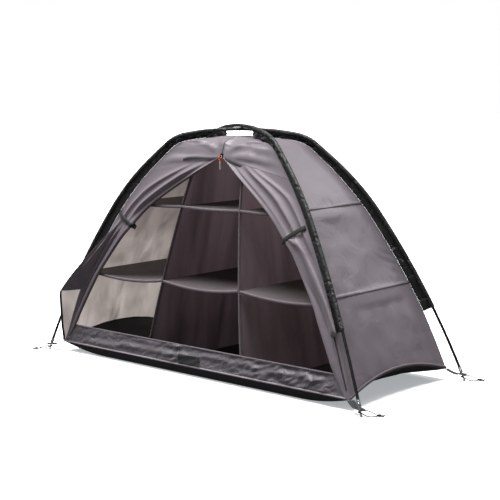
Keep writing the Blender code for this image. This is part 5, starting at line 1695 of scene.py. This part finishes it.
def add_door(hand, side):
    grid = door_grid(side)
    name, body = f"{hand}_door", f"{hand}_flap"
    marked = np.zeros((grid.shape[0] - 1, grid.shape[1] - 1), bool)
    if side < 0:
        k = np.linspace(0, 1, DOOR_COLUMNS)[None, :-1]
        low = grid[:-1, :1, 2] < FLAP_END_Z + 0.004
        marked[:, :DOOR_COLUMNS - 1] = low & (k > WING_PALE[0]) & (k < WING_PALE[1])
    looks = "door lining door flap_lining"
    door = cloth(f"{name}_flap", grid, DOOR_CLOTH, looks, FORWARD + 0.2 * UP, marked)
    fit(door, "fabric", name, body=body)
    trims = []
    for label, tape in (("zip", ZIP_TAPES[side]), ("edge", EDGE_TAPE)):
        column, top, foot, off, towards, width, thickness = tape
        run = run_down(grid, column, top, foot) + np.array(off)
        piece = f"{name}_{label}_tape"
        trims.append(binding_along(piece, run, towards, width, thickness, "tape", body=body))
    declare_cloth(door, grid, trims)


add_hardware()
add_corner_straps()
add_sleeve("a", ARCH_A)
add_sleeve("b", ARCH_B)
add_walls()
add_header()
add_door("left", -1)
add_door("right", 1)


# Sill and ground sheet
def sill_relief(x, z, up):
    # One long fold that wanders along the sill, broad rumples, creases, most of them on the
    # right and beside the patch, and slanting waves at the right end
    fold = 0.44 + 0.16 * np.sin(x * 4.2 + 0.6) + 0.05 * np.sin(x * 17)
    creased = 0.35 + 0.65 * ramp(x, 0.05, 0.30) + 0.9 * bell(x, -0.080, 0.030)
    folds = 0.0034 * bell(up, fold, 0.13) - 0.0022 * bell(up, fold + 0.26, 0.12)
    folds = folds + 0.0030 * soft_noise(x * 0.35 + up * 0.05, z * 1.2, 0.040, 41)
    folds = folds + 0.0034 * soft_noise(x - 1.5 * z, 0.3 * x + z, 0.022, 43) * creased
    return folds + 0.0026 * np.sin((x * 0.55 + z) * TURN / 0.062) * bell(x, 0.36, 0.13)


def add_sill():
    z = np.linspace(HEM_Z, SILL_Z, 30)[:, None]
    u = np.linspace(-1, 1, 221)[None, :]
    low_x = door_free_x(HEM_Z, DOOR_FOOT_WIDTH)
    seam_z, width, free_z = DOOR_EDGES[-1]
    lean = (door_free_x(seam_z, width) - low_x) / (free_z - HEM_Z)
    x = u * (low_x + lean * (z - HEM_Z) - 3 * GAP)
    up = (z - HEM_Z) / (SILL_Z - HEM_Z)
    s = seam_s_at(z + 0 * x)
    flat = wall_point(HALF_Y, s)
    slope = wall_slope(HALF_Y, s)
    held = (1 - ramp(np.abs(u), 0.90, 1.0)) * ramp(up, 0.0, 0.16) * (1 - ramp(up, 0.86, 0.97))
    lift = sill_relief(x, z, up) * held + 0.0006 * (1 - ramp(1 - up, 0.08, 0.12))
    normal = slope[..., 1:] * FORWARD - slope[..., :1] * UP
    grid = np.stack([x, -flat[..., 0], flat[..., 1]], -1) + normal * lift[..., None]
    sill = fit(cloth("sill_shell", grid, FABRIC, "sill shade sill", FORWARD), "fabric", "front_sill")
    hem_line = grid[0] + UP * 0.0015 + FORWARD * 0.0004
    trims = [
        binding_along("sill_binding", grid[-1] - UP * 0.003, FORWARD, width=0.005, thickness=0.002),
        binding_along("front_hem", hem_line, FORWARD, width=0.006, thickness=0.0034, look="hem"),
    ]
    declare_cloth(sill, grid, trims + add_patch(grid, x[0]))


def add_patch(grid, x):
    # The plain patch on the sill, with a row of thread along each side, short of the corners
    spot = (np.abs(x - PATCH_X) < PATCH_HALF).nonzero()[0]
    cells = grid[PATCH_ROWS, spot[0]:spot[-1] + 1] + FORWARD * 0.0016
    patch = fit(cloth("sill_patch", cells, PATCH_CLOTH, "patch patch", FORWARD), "fabric")
    rim = [cells[0, 0], cells[0, -1], cells[-1, -1], cells[-1, 0], cells[0, 0]]
    rows = [
        np.linspace(a * 0.97 + b * 0.03, b * 0.97 + a * 0.03, 8) + FORWARD * 0.0006
        for a, b in zip(rim, rim[1:])
    ]
    thread = stitches("sill_patch_stitch", rows, FORWARD, "thread", pitch=0.003, size=0.0004)
    return [patch, fit(thread, "fabric")]


def edge_marks(flat, whole, edge_count, middle_count):
    # Marks from -1 to 1 across the sheet: edge_count over each rim that turns up, and
    # middle_count over the flat part, its two edges among them
    side = np.linspace(flat / whole, 1.0, edge_count)
    middle = np.linspace(-flat / whole, flat / whole, middle_count)[1:-1]
    return np.concatenate([-side[::-1], middle, side])


def add_ground_sheet():
    inset = 2 * GAP
    hem_x = wall_reach(HALF_X, HEM_Z, FABRIC) - inset
    side_x = wall_reach(HALF_X, HEM_Z + SIDE_HEM_RISE, FABRIC) - inset
    hem_y = wall_reach(HALF_Y, HEM_Z, FABRIC) - inset
    v = edge_marks(FLOOR_FLAT_Y, hem_y, 14, 16)[:, None]
    u = edge_marks(FLOOR_FLAT_X, hem_x, 22, 40)[None, :]
    arch = 1 - v * v
    half_x = hem_x + (side_x - hem_x) * arch
    x = u * half_x
    y = v * hem_y + 0 * u
    over_y = np.clip((np.abs(y) - FLOOR_FLAT_Y) / (hem_y - FLOOR_FLAT_Y), 0, 1)
    over_x = np.clip((np.abs(x) - FLOOR_FLAT_X) / (half_x - FLOOR_FLAT_X), 0, 1)
    side_lift = HEM_Z + SIDE_HEM_RISE * arch - FABRIC
    lift = np.maximum(side_lift * over_x ** 2, (HEM_Z - FABRIC) * over_y ** 2)
    rumple = 0.0016 * (soft_noise(x, y, 0.07, 51) + 0.6 * soft_noise(x, y, 0.03, 53) + 0.9)
    loose = np.sin(math.pi * np.clip(over_x, 0, 1)) * 0.0020 * soft_noise(x, y, 0.05, 57)
    rim = (1 - ramp(np.abs(u), 0.90, 1.0)) * (1 - ramp(np.abs(v), 0.70, 0.88))
    height = lift + FABRIC + np.maximum(0, rumple + loose) * rim
    grid = np.stack([x + 0 * y, y, height], -1)
    floor = fit(cloth("ground_sheet", grid, FABRIC * 0.9, "floor floor", UP), "floor", "floor_sheet")
    declare_cloth(floor, grid)


# Dividers and shelves
def add_divider(name, side):
    # It follows the flat floor at its foot and the walls above, and bows a little between shelves
    z = np.concatenate([[FABRIC + 2 * GAP, 0.02, 0.04], np.linspace(0.055, DIVIDER_TOP_Z, 84)])[:, None]
    v = np.linspace(0, 1, 47)[None, :]
    low = ramp(z, 0.0, HEM_Z + 0.02)
    front = -wall_reach(HALF_Y, z) + FRONT_SETBACK
    back = wall_reach(HALF_Y, z, FABRIC) - GAP
    front = front * low - FLOOR_FLAT_Y * (1 - low)
    back = back * low + FLOOR_FLAT_Y * (1 - low)
    y = front + (back - front) * v
    near_shelf = np.minimum(np.abs(z - UPPER_SHELF_Z), np.abs(z - MIDDLE_SHELF_Z + MIDDLE_SAG / 2))
    free = ramp(near_shelf, 0.008, 0.05) * ramp(z, 0.01, 0.06) * (1 - ramp(z, 0.60, 0.68))
    free = free * ramp(v, 0.0, 0.06) * (1 - ramp(v, 0.94, 1.0))
    waves = np.sin(y * TURN / 0.058 + 1.2 * np.sin(z * 11) + side)
    bow = 0.0020 * waves + 0.0018 * soft_noise(y, z, 0.1, 61)
    x = side * divider_x(z) + bow * free + 0 * y
    grid = np.stack([x, y, z + 0 * y], -1)
    sheet = fit(cloth(f"{name}_sheet", grid, FABRIC, "inner inner inner", (1, 0, 0.2)), "inner", name)
    rim = grid[4:-1, 0] - FORWARD * 0.0045
    edge = binding_along(f"{name}_binding", rim, (1.0, 0, 0), width=0.012, thickness=0.0026, slot="inner")
    declare_cloth(sheet, grid, [edge])


def add_shelf(name, bay, z, sag):
    # bay is -1, 0 or 1: left of both dividers, between them or right of both
    slack = sag + 0.0012
    beside = FABRIC / 2 + 2 * GAP + DIVIDER_LEAN * slack
    v = np.linspace(0, 1, 31)[:, None]
    u = np.linspace(0, 1, 41)[None, :]
    front = -wall_reach(HALF_Y, z) + FRONT_SETBACK
    back = wall_reach(HALF_Y, z, FABRIC) - GAP
    if bay == 0:
        x = (2 * u - 1) * (divider_x(z) - beside)
    else:
        start = divider_x(z - slack) + beside
        end = wall_reach(HALF_X, z, FABRIC) - 3 * GAP
        x = bay * (start + u * (end - start))
    free = np.sin(math.pi * u) * np.sin(math.pi * np.clip(v, 0.02, 0.98))
    rumple = 0.0014 * free * (soft_noise(x, v * 0.3, 0.08, 71 + bay) - 0.3)
    drop = sag * (1 - (2 * u - 1) ** 2) - rumple
    grid = np.stack([x + 0 * v, front + (back - front) * v + 0 * x, z - drop], -1)
    sheet = fit(cloth(f"{name}_sheet", grid, SHELF_CLOTH, "shelf shade shelf", UP), "inner", name)
    rim = grid[0] - FORWARD * 0.0006 - UP * 0.0026
    edge = binding_along(f"{name}_binding", rim, FORWARD, width=0.009, thickness=0.0026, slot="inner")
    declare_cloth(sheet, grid, [edge])


# Tie straps
def tie_lines(side, behind):
    # The middle line of one half of a tie, the way across it and the way that it faces. The rear
    # half lies behind the flap, and the front half goes over it.
    seam_z, width, free_z = DOOR_EDGES[TIE_ROW - 1]
    start = np.array([side * door_free_x(seam_z, 0.004), seam_z])
    end = np.array([side * door_free_x(seam_z, width), free_z])
    along = unit(end - start)
    broad = np.array([-along[1], along[0]])
    broad = broad * np.sign(broad[1])
    reach = float(np.linalg.norm(end - start))
    travel = np.linspace(0, reach + TIE_PAST, 40)
    past = ramp(travel, reach, reach + 0.0065)
    share = np.clip(travel / reach, 0, 1)
    if behind:
        forward = -TIE_BACK * (1 - past) - 0.0009 * past
    else:
        over = TIE_OVER * np.sin(math.pi * share) ** 0.35
        forward = over * (1 - past) + 0.0016 + 0.0045 * (1 - past) * ramp(share, 0.8, 1.0)
    flat = start + along * travel[:, None]
    sides = [flat + broad * w for w in (-0.006, 0.006)]
    edges = [np.stack([p[:, 0], -wall_reach(HALF_Y, p[:, 1]) - forward, p[:, 1]], 1) for p in sides]
    middle = (edges[0] + edges[1]) / 2
    side_dir = unit(edges[1] - edges[0])
    tangent = unit(np.gradient(middle, axis=0))
    face = unit(np.cross(side_dir, tangent))
    return middle, side_dir, face * -np.sign(face[:, 1:2] + 1e-9)


def add_ties(hand, side):
    for piece, behind in ((f"{hand}_tie", False), (f"{hand}_tie_rear", True)):
        middle, side_dir, face = tie_lines(side, behind)
        body = f"{hand}_flap" if behind else f"{hand}_tie_strap"
        strap = ribbon(f"{piece}_webbing", middle, side_dir, face, TIE_WIDTH, TIE_THICKNESS, "webbing")
        fit(strap, "webbing", piece, body=body)
        if not behind:
            line = middle[2:-2] + face[2:-2] * 0.0008
            rows = [line + side_dir[2:-2] * off for off in (-0.0045, 0.0045)]
            thread = stitches(f"{piece}_stitch", rows, FORWARD, "dark_thread", pitch=0.003)
            fit(thread, "webbing", body=body)


# Zip slider and its pull: an orange cord loop with a grey grip
def slider_frame():
    # The slider's middle on the cloth, and the ways to its side, into the cloth and up along it
    s = seam_s_at(ZIP_TOP_Z + SLIDER_HEIGHT / 2 + GAP)
    flat, slope = wall_point(HALF_Y, s), wall_slope(HALF_Y, s)
    up = np.array([0, -slope[0], slope[1]])
    side = np.array([1.0, 0, 0])
    return np.array([ZIP_X, -flat[0], flat[1]]), side, np.cross(up, side), up


def bail_point():
    # Where the pull's cord hangs in the slider's bail
    centre, _, depth, up = slider_frame()
    middle = -GAP - SLIDER_DEPTH - (BAIL_REACH - BAIL_BAR) / 2
    low = -BAIL_HEIGHT / 2 + BAIL_BAR / 2 + PULL_CORD_D / 2 + 3 * GAP
    return centre + depth * middle + up * low


def pull_point(x, drop):
    # The pull lies down the slider's face and hangs straight below it
    up = slider_frame()[3]
    lying = SLIDER_HEIGHT / 2 + PULL_CORD_D
    return bail_point() + np.array([x, 0, -max(0.0, drop - lying)]) - up * min(drop, lying)


def add_zip_pull():
    repaint("zipper_slider", "slider")
    half = GRIP_WIDTH / 2 - PULL_CORD_D / 2 - PULL_INSET
    route = [(-half * w, PULL_LOOP * d) for w, d in PULL_ROUTE]
    route += [(-x, drop) for x, drop in reversed(route[:-1])]
    line = smooth_line([pull_point(x, drop) for x, drop in route], 6)
    cord = cord_along("pull_cord_loop", line, PULL_CORD_D, "pull_cord", rounds=3)
    fit(cord, "pull", "zipper_pull", body="zip_pull")
    top = pull_point(0.0, PULL_LOOP)
    turns = TURN * np.arange(24) / 24
    rounded = [np.sign(v) * np.abs(v) ** 0.6 for v in (np.cos(turns), np.sin(turns))]
    section = np.stack([rounded[0] * GRIP_WIDTH / 2, rounded[1] * GRIP_DEPTH / 2, np.zeros(24)], 1)
    rings = []
    for share in np.linspace(0, 1, 15):
        ends = 0.30 * bell(share, 0, 0.05) + 0.25 * bell(share, 1, 0.05)
        waist = 1 - 0.10 * math.sin(math.pi * share) - ends
        rings.append(top + section * waist - UP * GRIP_LENGTH * share)
    grip = fit(rings_mesh("pull_grip", rings, "grip"), "pull", "zipper_pull", body="zip_pull")
    float(run_of(line)[-1])


add_sill()
add_ground_sheet()
for side_name, side in (("left", -1), ("right", 1)):
    add_divider(f"{side_name}_divider", side)
    add_ties(side_name, side)
for bay_name, bay in (("left", -1), ("centre", 0), ("right", 1)):
    add_shelf(f"upper_shelf_{bay_name}", bay, UPPER_SHELF_Z, UPPER_SAG)
    add_shelf(f"middle_shelf_{bay_name}", bay, MIDDLE_SHELF_Z, MIDDLE_SAG)
add_zip_pull()
